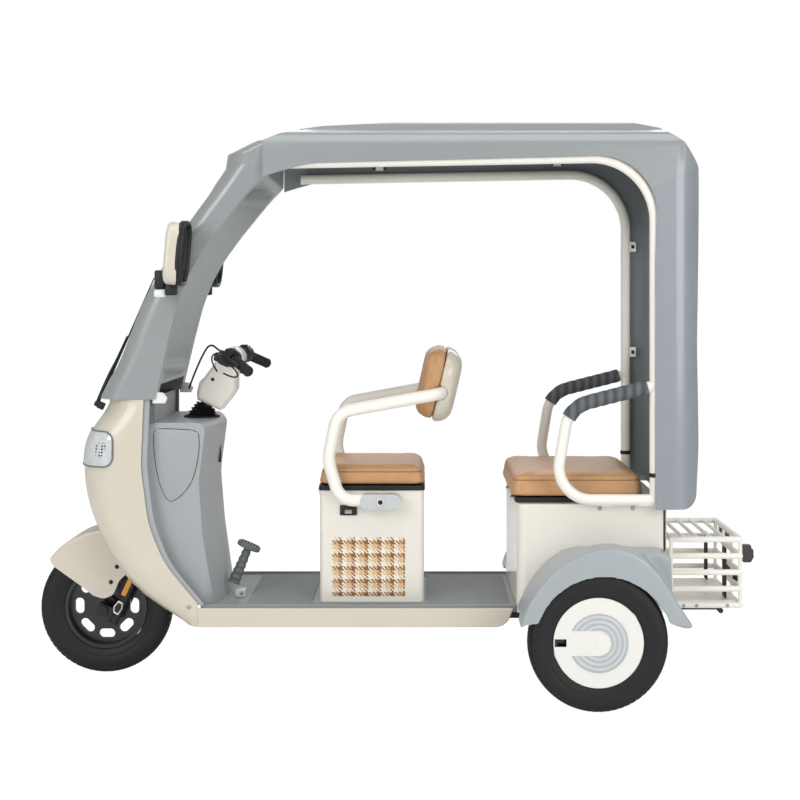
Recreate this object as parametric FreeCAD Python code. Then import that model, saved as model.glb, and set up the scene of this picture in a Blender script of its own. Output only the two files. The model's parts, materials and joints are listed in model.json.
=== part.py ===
import FreeCAD, Part
import math
import os

# Electric passenger tricycle with a canopy. Millimetres, Z up, wheels on Z = 0.
# The nose points to -X, the driver's left hand to -Y. The origin is on the ground,
# half way along the vehicle, on its middle plane.

V = FreeCAD.Vector
os.makedirs("parts", exist_ok=True)

# Gaps, and how far cuts overrun
seat_gap = 0.3
pin_gap = 0.05
moving_gap = 6.0
overrun = 60.0
cut_reach = 2250.0
join_slack = 0.000001
angle_slack = 0.0001
round_end_share = 0.499

# Front wheel
front_axle_x = -914.0
front_tyre_r = 211.0
front_tyre_half = 40.0
front_rim_r = 132.0
front_hub_r = 36.0
front_disc_half = 6.0
slot_count = 8
slot_circle_r = 88.0
slot_length = 51.0
slot_width = 29.0

# Rear wheels
wheelbase = 1522.0
rear_tyre_r = 205.0
rear_tyre_half = 38.0
rear_rim_r = 131.0
rear_hub_r = 40.0
rear_track_half = 455.0
drum_r = 68.0
cover_thick = 4.0
ornament_r = 86.0
ornament_slot_half = 36.0
ornament_rise = 3.0
valve_slot_length = 34.0
valve_slot_width = 22.0
valve_circle_r = 110.0

# What both kinds of wheel share
tyre_crown_drop = 11.0
bead_half_share = 0.76
shoulder_half_share = 0.74
belly_height_share = 0.5
rim_wall = 12.0
rim_half_share = 0.72
hub_half_share = 0.66
axle_r = 8.0
axle_nut_r = 15.0
axle_nut_high = 9.0

# Steering axis and fork
rake_deg = 24.8
axle_lead = 18.0
leg_back = 28.0
leg_r = 15.0
leg_spread = 62.0
leg_below = 34.0
crown_low = 286.0
crown_high = 304.0
crown_margin = 22.0
steerer_r = 16.0
column_r = 20.0
lug_half = 9.0
head_tube_r = 27.0
head_tube_low = 312.0
head_tube_high = 560.0

# Front mudguard
guard_r = 229.0
guard_ahead = 20.0
guard_above = 30.0
guard_half = 86.0
guard_wall = 4.0
guard_tip_back = -167.0
guard_tail_back = 150.0
guard_apron_low = 38.0
guard_crest = 259.0

# Handlebar
bar_r = 11.0
bar_bend_r = 45.0
bar_level = 903.0
bar_inner_y = 90.0
bar_mid_y = 172.0
bar_end_y = 268.0
bar_mid_back = 32.0
bar_end_back = 100.0
bar_mid_drop = 5.0
bar_end_drop = 12.0
grip_r = 17.0
grip_share = 0.94
clamp_r = 19.0
clamp_long = 42.0
lever_r = 5.0
lever_ball_r = 7.5
lever_reach = 34.0

# Column cover and instrument cap, in the steering axis' own directions
cover_low = 719.0
cover_high = 888.0
cover_half = 72.0
cover_front = 66.0
cover_back = 84.0
cap_low = 889.0
cap_high = 934.0
cap_half = 74.0
cap_front = 34.0
cap_back = 62.0
cap_round = 18.0

# Bellows at the column's foot
boot_low_r = 54.0
boot_high_r = 34.0
boot_fold_deep = 6.0
boot_folds = 3

# Brake cable, from the left clamp to the cover's foot
cable_r = 3.0

# Floor and chassis
floor_top = 262.0
floor_thick = 14.0
floor_half = 270.0
floor_front = -574.0
lip_wide = 12.0
lip_high = 8.0
skirt_low = 205.0
skirt_half = 284.0
skirt_front = -581.0
skirt_rear = 352.0
skirt_tail_round = 46.0
rail_inner = 128.0
rail_wide = 42.0
rail_high = 40.0
rail_front = -560.0
rail_kick_start = 400.0
rail_kick_end = 480.0
rail_kick_rise = 72.0
rail_rear = 828.0
cross_size = 34.0
down_tube_r = 23.0

# Nose and legshield
nose_front_x = -962.0
nose_top = 892.0
nose_half_top = 262.0
nose_wall = 4.0
nose_depth = 150.0
nose_power = 3.0
nose_tail = -540.0
lip_step = 17.0
lip_inset = 2.6
arch_half = 206.0
arch_top = 512.0
arch_round = 100.0
shield_wall = 5.0
box_half = 226.0
box_round = 42.0
dash_top = 818.0
dash_front = -720.0
dash_rear = -520.0
lamp_rise = 3.0
lamp_deep = 10.0
lamp_inner = 118.0
lamp_low = 688.0
lamp_high = 794.0
lamp_rear = -841.0
lamp_round = 30.0

# Windscreen and its pillars
pillar_wide = 44.0
screen_bulge = 48.0
screen_low = 948.0
screen_high = 1560.0
screen_inset = 8.0
screen_thick = 5.0
screen_corner = 60.0
screen_foot_x = -860.0
screen_head_x = -461.0
screen_head_z = 1604.0
screen_foot_half = 264.0
screen_head_half = 326.0

# Canopy
roof_seam = -384.0
roof_half = 345.0
roof_top = 1728.0
roof_side_round = 56.0
roof_eave_drop = 34.0
roof_crown_drop = 8.0
roof_crown_r = 1500.0
roof_shoulder_r = 300.0
roof_panel_half = 215.0
roof_panel_rise = 19.0
roof_panel_front = -278.0
roof_panel_rear = 844.0
roof_panel_slope = 12.0
roof_panel_edge_rise = 13.0
roof_panel_edge_r = 8.0
canopy_wall = 5.0
lining_wall = 4.0
lining_gap = 0.5
lining_foot = 20.0
lining_front = -300.0
canopy_rear = 938.0
canopy_rear_round = 84.0
cover_foot = 569.0
cover_mouth_x = 872.0
rear_window_half = 190.0
rear_window_low = 1020.0
rear_window_high = 1440.0
rear_window_round = 55.0
pane_thick = 4.0
pane_gap = 0.4
pane_inset = 1.0

# Side tubes of the canopy and the arm rests
side_tube_y = 318.0
hoop_r = 16.0
hoop_front_z = 1605.0
hoop_rear_z = 1625.0
hoop_front = -318.0
hoop_post_x = 797.0
hoop_bend_r = 190.0
arm_r = 17.0
arm_foot_z = 595.0
arm_post_top = 938.0
arm_front_x = 538.0
arm_front_top = 872.0
arm_foot_x = 492.0
arm_top_bend = 95.0
arm_foot_bend = 98.0
grip_pad_tail = 118.0
grip_pad_r = 21.0
grip_pad_lift = 6.0
tab_thick = 5.0
tab_half = 20.0
tab_inner = 268.0

# Front seat
seat_box_front = -218.0
seat_box_rear = 104.0
seat_box_half = 190.0
seat_box_top = 606.0
seat_box_round = 16.0
seat_box_wall = 4.0
seat_plate_thick = 15.0
seat_plate_over = 3.0
cushion_top = 683.0
cushion_over = 6.0
cushion_round = 34.0
cushion_edge = 22.0
hinge_r = 5.0
hinge_pin_r = 2.5
hinge_leaf = 3.0
hinge_long = 60.0
hinge_spread = 110.0

# Front backrest
pivot_x = -29.0
pivot_z = 578.0
pivot_r = 6.0
boss_r = 20.0
boss_high = 9.0
socket_inner = 206.0
socket_thick = 40.0
socket_half = 23.0
socket_tail = 62.0
socket_nose = 62.0
back_tube_y = 226.0
back_tube_r = 19.0
back_tube_lift = 3.0
back_foot_x = -154.0
back_foot_bend = 58.0
back_belly_x = -190.0
back_belly_z = 705.0
back_belly_bend = 110.0
back_shoulder_x = -161.0
back_shoulder_z = 850.0
back_shoulder_bend = 62.0
back_cross_x = 158.0
back_cross_z = 908.0
back_cross_bend = 42.0
pad_half = 206.0
pad_low = 812.0
pad_high = 1042.0
pad_thick = 58.0
pad_edge = 38.0
shell_thick = 56.0
shell_edge = 48.0
pad_lean_deg = 13.0
pad_round = 78.0

# Rear seat
rear_box_front = 385.0
rear_box_rear = 841.0
rear_box_half = 290.0
rear_box_top = 578.0
rear_box_round = 30.0
rear_box_wall = 5.0
rear_box_floor = 336.0
rear_box_deck = 782.0
rear_cushion_front = 366.0
rear_cushion_rear = 777.0
rear_cushion_half = 260.0
rear_cushion_top = 667.0
battery_long = 320.0
battery_wide = 420.0
battery_high = 190.0

# Rear mudguards
fender_front = 379.0
fender_rear = 881.0
fender_low = 247.0
fender_top = 488.0
fender_half = 505.0
fender_wall = 4.0
fender_edge = 26.0
fender_arch_r = 186.0
arch_lift = 4.0

# Rear axle, springs and dampers
axle_tube_r = 24.0
motor_r = 84.0
motor_half = 88.0
spring_y = 205.0
spring_wide = 42.0
spring_thick = 8.0
spring_count = 3
spring_step = 0.5
spring_half_long = 210.0
spring_sag = 34.0

# Basket, lamps and rear bar
basket_front = 867.0
basket_rear = 1081.0
basket_half = 190.0
basket_low = 252.0
basket_high = 455.0
basket_rail_r = 9.0
basket_rails = 5
basket_bar_r = 6.0
basket_bars = 4
basket_floor_thick = 6.0
tail_lamp_high = 54.0
tail_lamp_wide = 26.0
tail_lamp_deep = 34.0
tail_lamp_round = 3.0
plate_wide = 190.0
plate_high = 44.0
plate_thick = 4.0
plate_hole_pitch = 150.0
plate_hole_r = 3.5
bumper_r = 8.0

# Mirrors
mirror_x = -636.0
mirror_low = 1240.0
mirror_high = 1426.0
mirror_inner = 302.0
mirror_outer = 440.0
mirror_thick = 42.0
mirror_round = 46.0
mirror_edge = 14.0
mirror_arm_r = 8.0
mirror_pane = 3.0
mirror_lean_deg = 5.0
mirror_root_x = -668.0
mirror_root_y = 268.0
mirror_root_z = 1226.0

# Wiper
wiper_y = -70.0
wiper_foot_x = -925.0
wiper_foot_z = 862.0
wiper_top_x = -757.0
wiper_top_z = 1246.0
wiper_stand = 8.0
wiper_sink = 22.0
wiper_arm_long = 230.0
wiper_blade_start = 60.0
wiper_pivot_r = 12.0
wiper_arm_r = 5.0
wiper_blade_half = 5.0
wiper_blade_long = 380.0

# Brake pedal
pedal_x = -447.0
pedal_y = -100.0
pedal_z = 420.0
pedal_half_long = 38.0
pedal_half_wide = 30.0
pedal_thick = 16.0
pedal_tilt_deg = 23.0
pedal_stalk_r = 12.0
pedal_foot_x = -497.0
pedal_foot_z = 302.0
pedal_foot_r = 18.0
pedal_base_half = 22.0
pedal_base_long = 46.0
pedal_base_high = 40.0

# Places worked out from the sizes
column_top = bar_level - clamp_r - seat_gap
rear_axle_x = front_axle_x + wheelbase
rake = math.radians(rake_deg)
axis_foot = V(front_axle_x + axle_lead / math.cos(rake), 0, front_tyre_r)
axle_drop = axle_lead * math.tan(rake)
along = V(math.sin(rake), 0, math.cos(rake))


def corner_edges(points, place):
    """Edges of a path through corners (a, b, radius), each rounded by its radius."""
    spots = [place(p[0], p[1]) for p in points]
    count = len(spots)
    edges = []
    last = None
    first = None
    for i in range(count):
        here = spots[i]
        before = spots[i - 1]
        after = spots[(i + 1) % count]
        radius = points[i][2]
        to_before = (before - here).normalize()
        to_after = (after - here).normalize()
        angle = to_before.getAngle(to_after)
        if radius > 0 and angle < math.pi - angle_slack:
            run = radius / math.tan(angle / 2)
            start = here + to_before * run
            end = here + to_after * run
            middle = here + (to_before + to_after).normalize() * (radius / math.sin(angle / 2) - radius)
            arc = Part.Arc(start, middle, end).toShape()
        else:
            start = here
            end = here
            arc = None
        if last is not None and (start - last).Length > join_slack:
            edges.append(Part.LineSegment(last, start).toShape())
        if arc is not None:
            edges.append(arc)
        if first is None:
            first = start
        last = end
    if (first - last).Length > join_slack:
        edges.append(Part.LineSegment(last, first).toShape())
    return edges


def outline_face(points, place, inset):
    """Flat face with rounded corners, drawn in all round by an inset."""
    wire = Part.Wire(corner_edges(points, place))
    if inset:
        wire = wire.makeOffset2D(-inset)
    return Part.Face(wire)


def side_prism(points, y_low, y_high, inset=0.0):
    """Solid with an outline of (x, z, radius) corners, between two Y places."""
    face = outline_face(points, lambda a, b: V(a, y_low, b), inset)
    return face.extrude(V(0, y_high - y_low, 0))


def plan_prism(points, z_low, z_high, inset=0.0):
    """Solid with an outline of (x, y, radius) corners, between two heights."""
    face = outline_face(points, lambda a, b: V(a, b, z_low), inset)
    return face.extrude(V(0, 0, z_high - z_low))


def front_prism(points, x_low, x_high, inset=0.0):
    """Solid with an outline of (y, z, radius) corners, between two X places."""
    face = outline_face(points, lambda a, b: V(x_low, a, b), inset)
    return face.extrude(V(x_high - x_low, 0, 0))


def block(x_low, x_high, y_low, y_high, z_low, z_high):
    return Part.makeBox(x_high - x_low, y_high - y_low, z_high - z_low, V(x_low, y_low, z_low))


def rounded_rectangle(a_low, a_high, b_low, b_high, radius):
    return [(a_low, b_low, radius), (a_high, b_low, radius),
            (a_high, b_high, radius), (a_low, b_high, radius)]


def rod(start, end, radius):
    return Part.makeCylinder(radius, (end - start).Length, start, end - start)


def bent_tube(spots, bends, radius):
    """Round bar along straight runs joined by arcs, one bend radius for each inner spot."""
    edges = []
    last = spots[0]
    for i in range(1, len(spots) - 1):
        here = spots[i]
        to_before = (spots[i - 1] - here).normalize()
        to_after = (spots[i + 1] - here).normalize()
        angle = to_before.getAngle(to_after)
        run = bends[i - 1] / math.tan(angle / 2)
        start = here + to_before * run
        end = here + to_after * run
        reach = bends[i - 1] / math.sin(angle / 2) - bends[i - 1]
        middle = here + (to_before + to_after).normalize() * reach
        edges.append(Part.LineSegment(last, start).toShape())
        edges.append(Part.Arc(start, middle, end).toShape())
        last = end
    edges.append(Part.LineSegment(last, spots[-1]).toShape())
    spine = Part.Wire(edges)
    heading = (spots[1] - spots[0]).normalize()
    ring = Part.Wire(Part.makeCircle(radius, spots[0], heading))
    return spine.makePipeShell([ring], True, False)


def both_sides(shape):
    """A shape and its mirror image in the middle plane."""
    return [shape, shape.mirror(V(0, 0, 0), V(0, 1, 0))]


def fuse_all(shapes):
    whole = shapes[0]
    if len(shapes) > 1:
        whole = shapes[0].multiFuse(shapes[1:])
    return whole.removeSplitter()


def save(node, shapes):
    shape = shapes if isinstance(shapes, Part.Shape) else Part.makeCompound(shapes)
    shape.exportStep("parts/" + node + ".step")


def between(low, high, share):
    return low + (high - low) * share


def stretched(shares, a_low, a_high, b_low, b_high, round_unit):
    """Corners given as shares of a rectangle, with the radius as a share of one size."""
    return [(between(a_low, a_high, a), between(b_low, b_high, b), r * round_unit) for a, b, r in shares]


def steered(shape):
    """Turn and move a shape drawn about the steering axis (its own Z) to its place."""
    turned = shape.copy()
    turned.rotate(V(0, 0, 0), V(0, 1, 0), rake_deg)
    turned.translate(axis_foot)
    return turned


def on_axis(distance, back=0.0, y=0.0):
    """Place at a distance up the steering axis, and back from it."""
    rear = V(math.cos(rake), 0, -math.sin(rake))
    return axis_foot + along * distance + rear * back + V(0, y, 0)


# Wheels

def turned_profile(wire, x, y, z):
    """Full turn of a profile drawn as (y, radius) about the wheel's axle."""
    ring = Part.Face(wire).revolve(V(0, 0, 0), V(0, 1, 0), 360)
    ring.translate(V(x, y, z))
    return ring


def tyre(outer_r, half, rim_r, x, y):
    bead = V(0, half * bead_half_share, rim_r)
    shoulder = V(0, half * shoulder_half_share, outer_r - tyre_crown_drop)
    belly = V(0, half, between(rim_r, outer_r, belly_height_share))
    bead_left = V(0, -bead.y, bead.z)
    shoulder_left = V(0, -shoulder.y, shoulder.z)
    belly_left = V(0, -belly.y, belly.z)
    edges = [Part.LineSegment(bead_left, bead).toShape(),
             Part.Arc(bead, belly, shoulder).toShape(),
             Part.Arc(shoulder, V(0, 0, outer_r), shoulder_left).toShape(),
             Part.Arc(shoulder_left, belly_left, bead_left).toShape()]
    return turned_profile(Part.Wire(edges), x, y, outer_r)


def wheel_rim(rim_r, half, hub_r, disc_half, x, y, z, slots):
    seat_r = rim_r - seat_gap
    barrel_half = half * rim_half_share
    hub_half = half * hub_half_share
    centre = V(x, y, z)
    sideways = V(0, 1, 0)
    barrel = Part.makeCylinder(seat_r, 2 * barrel_half, centre - sideways * barrel_half, sideways)
    well = Part.makeCylinder(seat_r - rim_wall, 4 * barrel_half, centre - sideways * 2 * barrel_half, sideways)
    disc = Part.makeCylinder(seat_r - rim_wall / 2, 2 * disc_half, centre - sideways * disc_half, sideways)
    for i in range(slots):
        turn = 360.0 * i / slots
        straight = (slot_length - slot_width) / 2
        cutter = plan_prism(rounded_rectangle(-straight - slot_width / 2, straight + slot_width / 2,
                                              -slot_width / 2, slot_width / 2, slot_width * round_end_share),
                            -2 * disc_half, 2 * disc_half)
        cutter.rotate(V(0, 0, 0), V(1, 0, 0), 90)
        cutter.translate(V(0, 0, slot_circle_r))
        cutter.rotate(V(0, 0, 0), sideways, turn)
        cutter.translate(centre)
        disc = disc.cut(cutter)
    hub = Part.makeCylinder(hub_r, 2 * hub_half, centre - sideways * hub_half, sideways)
    bore = Part.makeCylinder(axle_r + pin_gap, 4 * hub_half, centre - sideways * 2 * hub_half, sideways)
    return fuse_all([barrel.cut(well), disc, hub]).cut(bore)


def wheel_cover(side):
    """Flat white cover on the outer edge of a rear rim, with its raised open ring."""
    sideways = V(0, side, 0)
    face_y = rear_track_half + rear_tyre_half * rim_half_share
    base = V(rear_axle_x, side * (face_y + seat_gap), rear_tyre_r)
    y_low, y_high = sorted((0, side * 2 * face_y))
    disc = Part.makeCylinder(rear_rim_r - 1.5 * seat_gap, cover_thick, base, sideways)
    top = base + sideways * cover_thick
    ring = Part.makeCylinder(ornament_r, ornament_rise, top, sideways)
    ring = ring.cut(Part.makeCylinder(ornament_slot_half, 3 * ornament_rise,
                                      top - sideways * ornament_rise, sideways))
    gap = block(rear_axle_x - 2 * ornament_r, rear_axle_x, y_low, y_high,
                rear_tyre_r - ornament_slot_half, rear_tyre_r + ornament_slot_half)
    ring = ring.cut(gap)
    whole = disc.fuse(ring).removeSplitter()
    slot_x = rear_axle_x - valve_circle_r
    slot = block(slot_x - valve_slot_length / 2, slot_x + valve_slot_length / 2, y_low, y_high,
                 rear_tyre_r - valve_slot_width / 2, rear_tyre_r + valve_slot_width / 2)
    return whole.cut(slot)


# Fork, with its crown, steerer, axle and lugs
def fork():
    hub_half = front_tyre_half * hub_half_share
    legs = []
    for side in (-1, 1):
        y = side * leg_spread
        leg = Part.makeCylinder(leg_r, crown_high + leg_below, V(leg_back, y, -leg_below))
        lug = block(-axle_lead - 2 * lug_half, leg_back, y - lug_half, y + lug_half,
                    -axle_drop - 2 * lug_half, 2 * lug_half - axle_drop)
        legs += [leg, lug]
    crown = block(-leg_r, leg_back + leg_r, -leg_spread - crown_margin, leg_spread + crown_margin,
                  crown_low, crown_high)
    steerer = Part.makeCylinder(steerer_r, head_tube_high + moving_gap - crown_low, V(0, 0, crown_low))
    column = Part.makeCylinder(column_r, column_top - head_tube_high - moving_gap,
                               V(0, 0, head_tube_high + moving_gap))
    reach = leg_spread + lug_half + axle_nut_high
    axle = Part.makeCylinder(axle_r, 2 * reach, V(-axle_lead, -reach, -axle_drop), V(0, 1, 0))
    nuts = []
    for side in (-1, 1):
        outer_face = V(-axle_lead, side * (leg_spread + lug_half), -axle_drop)
        inner_face = V(-axle_lead, side * (leg_spread - lug_half), -axle_drop)
        spacer = leg_spread - lug_half - hub_half - moving_gap / 3
        nuts.append(Part.makeCylinder(axle_nut_r, axle_nut_high, outer_face, V(0, side, 0)))
        nuts.append(Part.makeCylinder(axle_nut_r, spacer, inner_face, V(0, -side, 0)))
    return steered(fuse_all(legs + [crown, steerer, column, axle] + nuts))


# Front mudguard: a band over the tyre with an apron on each side, outside the legs
guard_outline_shares = [(0.00, 0.585, 0.00), (0.02, 0.530, 0.00), (0.045, 0.470, 0.00), (0.335, 0.170, 0.04),
                        (0.44, 0.050, 0.10), (0.545, 0.000, 0.12), (0.64, 0.060, 0.08), (0.70, 0.260, 0.10),
                        (0.86, 0.480, 0.10), (1.10, 0.560, 0.00), (1.16, 1.20, 0.00), (-0.02, 1.20, 0.00)]


def front_guard():
    centre = V(front_axle_x + guard_ahead, 0, front_tyre_r + guard_above)
    drum = Part.makeCylinder(guard_r, 2 * guard_half, centre - V(0, guard_half, 0), V(0, 1, 0))
    edges = [e for e in drum.Edges if e.Closed]
    drum = drum.makeFillet(guard_wall * 3, edges)
    hollow = Part.makeCylinder(guard_r - guard_wall, 2 * (guard_half - guard_wall),
                               centre - V(0, guard_half - guard_wall, 0), V(0, 1, 0))
    corners = stretched(guard_outline_shares, front_axle_x + guard_tip_back, front_axle_x + guard_tail_back,
                        front_tyre_r + guard_apron_low, front_tyre_r + guard_crest, guard_crest)
    region = side_prism(corners, -2 * guard_half, 2 * guard_half)
    leg_room = []
    for side in (-1, 1):
        leg_room.append(steered(Part.makeCylinder(leg_r + 1.5 * seat_gap, 2 * crown_high,
                                                  V(leg_back, side * leg_spread, -leg_below))))
    shell = drum.cut(hollow).common(region)
    return shell.cut(leg_room[0]).cut(leg_room[1]).removeSplitter()


# Handlebar, grips, column cover, cap and cable, drawn about the steering axis
def bar_spots():
    half = [V(bar_mid_back, bar_mid_y, bar_level - bar_mid_drop),
            V(bar_end_back, bar_end_y, bar_level - bar_end_drop)]
    left = [V(p.x, -p.y, p.z) for p in reversed(half)]
    return left + [V(0, -bar_inner_y, bar_level), V(0, bar_inner_y, bar_level)] + half


def lever_ball(side):
    """Middle of the ball that joins a lever to its clamp."""
    inner = V(0, side * bar_inner_y, bar_level)
    mid = V(bar_mid_back, side * bar_mid_y, bar_level - bar_mid_drop)
    return mid - (mid - inner).normalize() * (clamp_long / 2) - V(lever_reach, 0, 0)


def handlebar():
    spots = bar_spots()
    bar = bent_tube(spots, [bar_bend_r] * (len(spots) - 2), bar_r)
    head = Part.makeCylinder(column_r, 2 * clamp_r, V(0, 0, bar_level - clamp_r)).cut(
        Part.makeCylinder(2 * column_r, clamp_r, V(0, 0, bar_level - 3 * clamp_r)))
    pieces = [bar, head]
    for side in (-1, 1):
        inner = V(0, side * bar_inner_y, bar_level)
        mid = V(bar_mid_back, side * bar_mid_y, bar_level - bar_mid_drop)
        end = V(bar_end_back, side * bar_end_y, bar_level - bar_end_drop)
        way = (mid - inner).normalize()
        pieces.append(Part.makeCylinder(clamp_r, clamp_long, mid - way * clamp_long, way))
        ahead = V(-lever_reach, 0, 0)
        ball = lever_ball(side)
        tip = end + ahead + (mid - end) * 0.08
        pieces.append(rod(ball - ahead, ball, lever_ball_r))
        pieces.append(rod(ball, tip, lever_r))
        pieces.append(Part.makeSphere(lever_ball_r, ball))
        pieces.append(Part.makeSphere(lever_r * 1.3, tip))
    return steered(fuse_all(pieces))


def grip(side):
    mid = V(bar_mid_back, side * bar_mid_y, bar_level - bar_mid_drop)
    end = V(bar_end_back, side * bar_end_y, bar_level - bar_end_drop)
    way = (end - mid).normalize()
    start = mid + way * bar_bend_r * 0.4
    length = (end - start).Length * grip_share + bar_r
    outer = Part.makeCylinder(grip_r, length, start, way)
    outer = outer.makeFillet(grip_r * 0.3, [e for e in outer.Edges if e.Closed])
    return steered(outer.cut(Part.makeCylinder(bar_r, (end - start).Length, start, way)))


cover_outline_shares = [(0.10, 0.00, 0.10), (0.90, 0.00, 0.14), (1.00, 0.30, 0.22), (0.90, 1.00, 0.06),
                        (0.28, 1.00, 0.06), (0.00, 0.60, 0.20), (0.00, 0.14, 0.12)]
cover_front_shares = [(0.16, 0.00, 0.20), (0.84, 0.00, 0.20), (1.00, 0.45, 0.35), (0.84, 1.00, 0.12),
                      (0.16, 1.00, 0.12), (0.00, 0.45, 0.35)]


def column_cover():
    side = side_prism(stretched(cover_outline_shares, -cover_front, cover_back, cover_low, cover_high,
                                cover_high - cover_low), -2 * cover_half, 2 * cover_half)
    front = front_prism(stretched(cover_front_shares, -cover_half, cover_half, cover_low, cover_high,
                                  cover_high - cover_low), -2 * cover_back, 2 * cover_back)
    shaft = Part.makeCylinder(column_r + seat_gap, 2 * cover_high, V(0, 0, 0))
    room = Part.makeCylinder(clamp_r + seat_gap, 4 * cover_half, V(0, -2 * cover_half, bar_level), V(0, 1, 0))
    return steered(side.common(front).cut(shaft).cut(room))


def instrument_cap():
    cap = side_prism(rounded_rectangle(-cap_front, cap_back, cap_low, cap_high, cap_round), -cap_half, cap_half)
    front = front_prism(rounded_rectangle(-cap_half, cap_half, cap_low, cap_high, cap_round),
                        -2 * cap_back, 2 * cap_back)
    bar_room = Part.makeCylinder(bar_r + seat_gap, 4 * cap_half, V(0, -2 * cap_half, bar_level), V(0, 1, 0))
    head_room = Part.makeCylinder(column_r + seat_gap, 2 * clamp_r + seat_gap, V(0, 0, bar_level - clamp_r))
    return steered(cap.common(front).cut(bar_room).cut(head_room))


def brake_cable():
    """From the left lever forward, down along the front of the cover to its foot."""
    front = -cover_front - cable_r - seat_gap
    y = -bar_inner_y * 0.72
    ball = lever_ball(-1)
    ahead = V(-clamp_r * 3.2, -bar_inner_y * 1.18, bar_level + cable_r)
    spots = [ball + (ahead - ball).normalize() * (lever_ball_r + seat_gap), ahead,
             V(front, y * 1.2, between(cover_low, cover_high, 0.80)),
             V(front, y, between(cover_low, cover_high, 0.42)),
             V(front, y * 0.5, between(cover_low, cover_high, 0.12))]
    bends = []
    for i in range(1, len(spots) - 1):
        turn = math.pi - (spots[i - 1] - spots[i]).getAngle(spots[i + 1] - spots[i])
        short = min((spots[i] - spots[i - 1]).Length, (spots[i + 1] - spots[i]).Length)
        bends.append(0.45 * short / math.tan(turn / 2))
    return steered(bent_tube(spots, bends, cable_r))


# Floor board with a raised lip along each side, and the cream skirt below it
def floor_board():
    rear = rear_box_front - seat_gap
    slab = block(floor_front, rear, -floor_half, floor_half, floor_top - floor_thick, floor_top)
    foot = V(rail_front + cross_size, 0, rail_top - cross_size / 2)
    start = on_axis(between(head_tube_low, head_tube_high, head_joint_share))
    slab = slab.cut(rod(start, foot, down_tube_r + seat_gap))
    lips = []
    for side in (-1, 1):
        inner = side * (floor_half - lip_wide)
        outer = side * floor_half
        lips.append(block(floor_front, rear, min(inner, outer), max(inner, outer),
                          floor_top - floor_thick, floor_top + lip_high))
    return fuse_all([slab] + lips)


def skirt():
    top = floor_top - seat_gap
    points = [(skirt_front, skirt_low, 0), (skirt_rear, skirt_low, skirt_tail_round),
              (skirt_rear + skirt_tail_round / 2, top, 0), (skirt_front, top, 0)]
    return side_prism(points, -skirt_half, -floor_half - seat_gap)


# Chassis: two rails that rise over the rear axle, cross members, down tube and head tube
rail_top = floor_top - floor_thick - seat_gap
cross_shares = (0.02, 0.30, 0.56, 0.97)
head_joint_share = 0.55


def rail(side):
    low = rail_top - rail_high
    points = [(rail_front, low, 0), (rail_kick_start, low, 0), (rail_kick_end, low + rail_kick_rise, 0),
              (rail_rear, low + rail_kick_rise, 0), (rail_rear, rail_top + rail_kick_rise, 0),
              (rail_kick_end - rail_high / 4, rail_top + rail_kick_rise, 0),
              (rail_kick_start - rail_high / 4, rail_top, 0), (rail_front, rail_top, 0)]
    inner = side * rail_inner
    outer = side * (rail_inner + rail_wide)
    return side_prism(points, min(inner, outer), max(inner, outer))


def head_tube():
    """Head tube on the steering axis and the tube from it down to the first cross member."""
    outer = Part.makeCylinder(head_tube_r, head_tube_high - head_tube_low, on_axis(head_tube_low), along)
    foot = V(rail_front + cross_size, 0, rail_top - cross_size / 2)
    start = on_axis(between(head_tube_low, head_tube_high, head_joint_share))
    below = block(rail_front - overrun, rail_front + 2 * overrun, -down_tube_r, down_tube_r,
                  0, rail_top - cross_size + seat_gap)
    return outer.fuse(rod(start, foot, down_tube_r).cut(below))


def chassis():
    pieces = [rail(-1), rail(1), head_tube()]
    for share in cross_shares:
        x = between(rail_front, rail_rear - cross_size, share)
        rise = rail_kick_rise if x > rail_kick_end else 0
        pieces.append(block(x, x + cross_size, -rail_inner - seat_gap, rail_inner + seat_gap,
                            rail_top - cross_size + rise, rail_top + rise))
    bore = Part.makeCylinder(steerer_r + pin_gap, 2 * head_tube_high, on_axis(0), along)
    return fuse_all(pieces).cut(bore)


# Nose: lofted through level sections, hollow, cut back along the lip and for the wheel
# Each row is a share of the nose's length to its front and a share of its height.
nose_front_shares = [(0.815, 1.000), (0.905, 0.890), (0.985, 0.790), (1.000, 0.690), (0.985, 0.590),
                     (0.945, 0.490), (0.875, 0.385), (0.775, 0.270), (0.640, 0.165), (0.455, 0.075),
                     (0.330, 0.030), (0.240, 0.000)]


def superellipse_curve(front_x, depth, half, z):
    """Front of a level section, from one side to the other, as one smooth curve."""
    spots = []
    steps = 16
    for i in range(steps + 1):
        turn = math.pi * (i / steps - 0.5)
        y = half * math.copysign(abs(math.sin(turn)) ** (2 / nose_power), math.sin(turn))
        x = front_x + depth * (1 - abs(math.cos(turn)) ** (2 / nose_power))
        spots.append(V(x, y, z))
    curve = Part.BSplineCurve()
    curve.interpolate(spots)
    return curve.toShape()


def level_section(front_x, depth, half, rear_x, z):
    front = superellipse_curve(front_x, depth, half, z)
    left = V(front_x + depth, -half, z)
    right = V(front_x + depth, half, z)
    back_left = V(rear_x, -half, z)
    back_right = V(rear_x, half, z)
    return Part.Wire([front, Part.LineSegment(right, back_right).toShape(),
                      Part.LineSegment(back_right, back_left).toShape(),
                      Part.LineSegment(back_left, left).toShape()])


def nose_half(share):
    return skirt_half + (nose_half_top - skirt_half) * share ** 2


def nose_block(inset):
    """The whole nose as a solid, drawn in from its outside by an inset."""
    wires = []
    for x_share, z_share in nose_front_shares:
        front_x = nose_tail + (nose_front_x - nose_tail) * x_share + inset
        z = between(skirt_low, nose_top, z_share)
        half = nose_half(z_share) - inset
        depth = min(nose_depth, nose_tail - front_x - lip_wide)
        wires.append(level_section(front_x, depth, half, nose_tail, z))
    return Part.makeLoft(wires, True, False)


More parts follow.
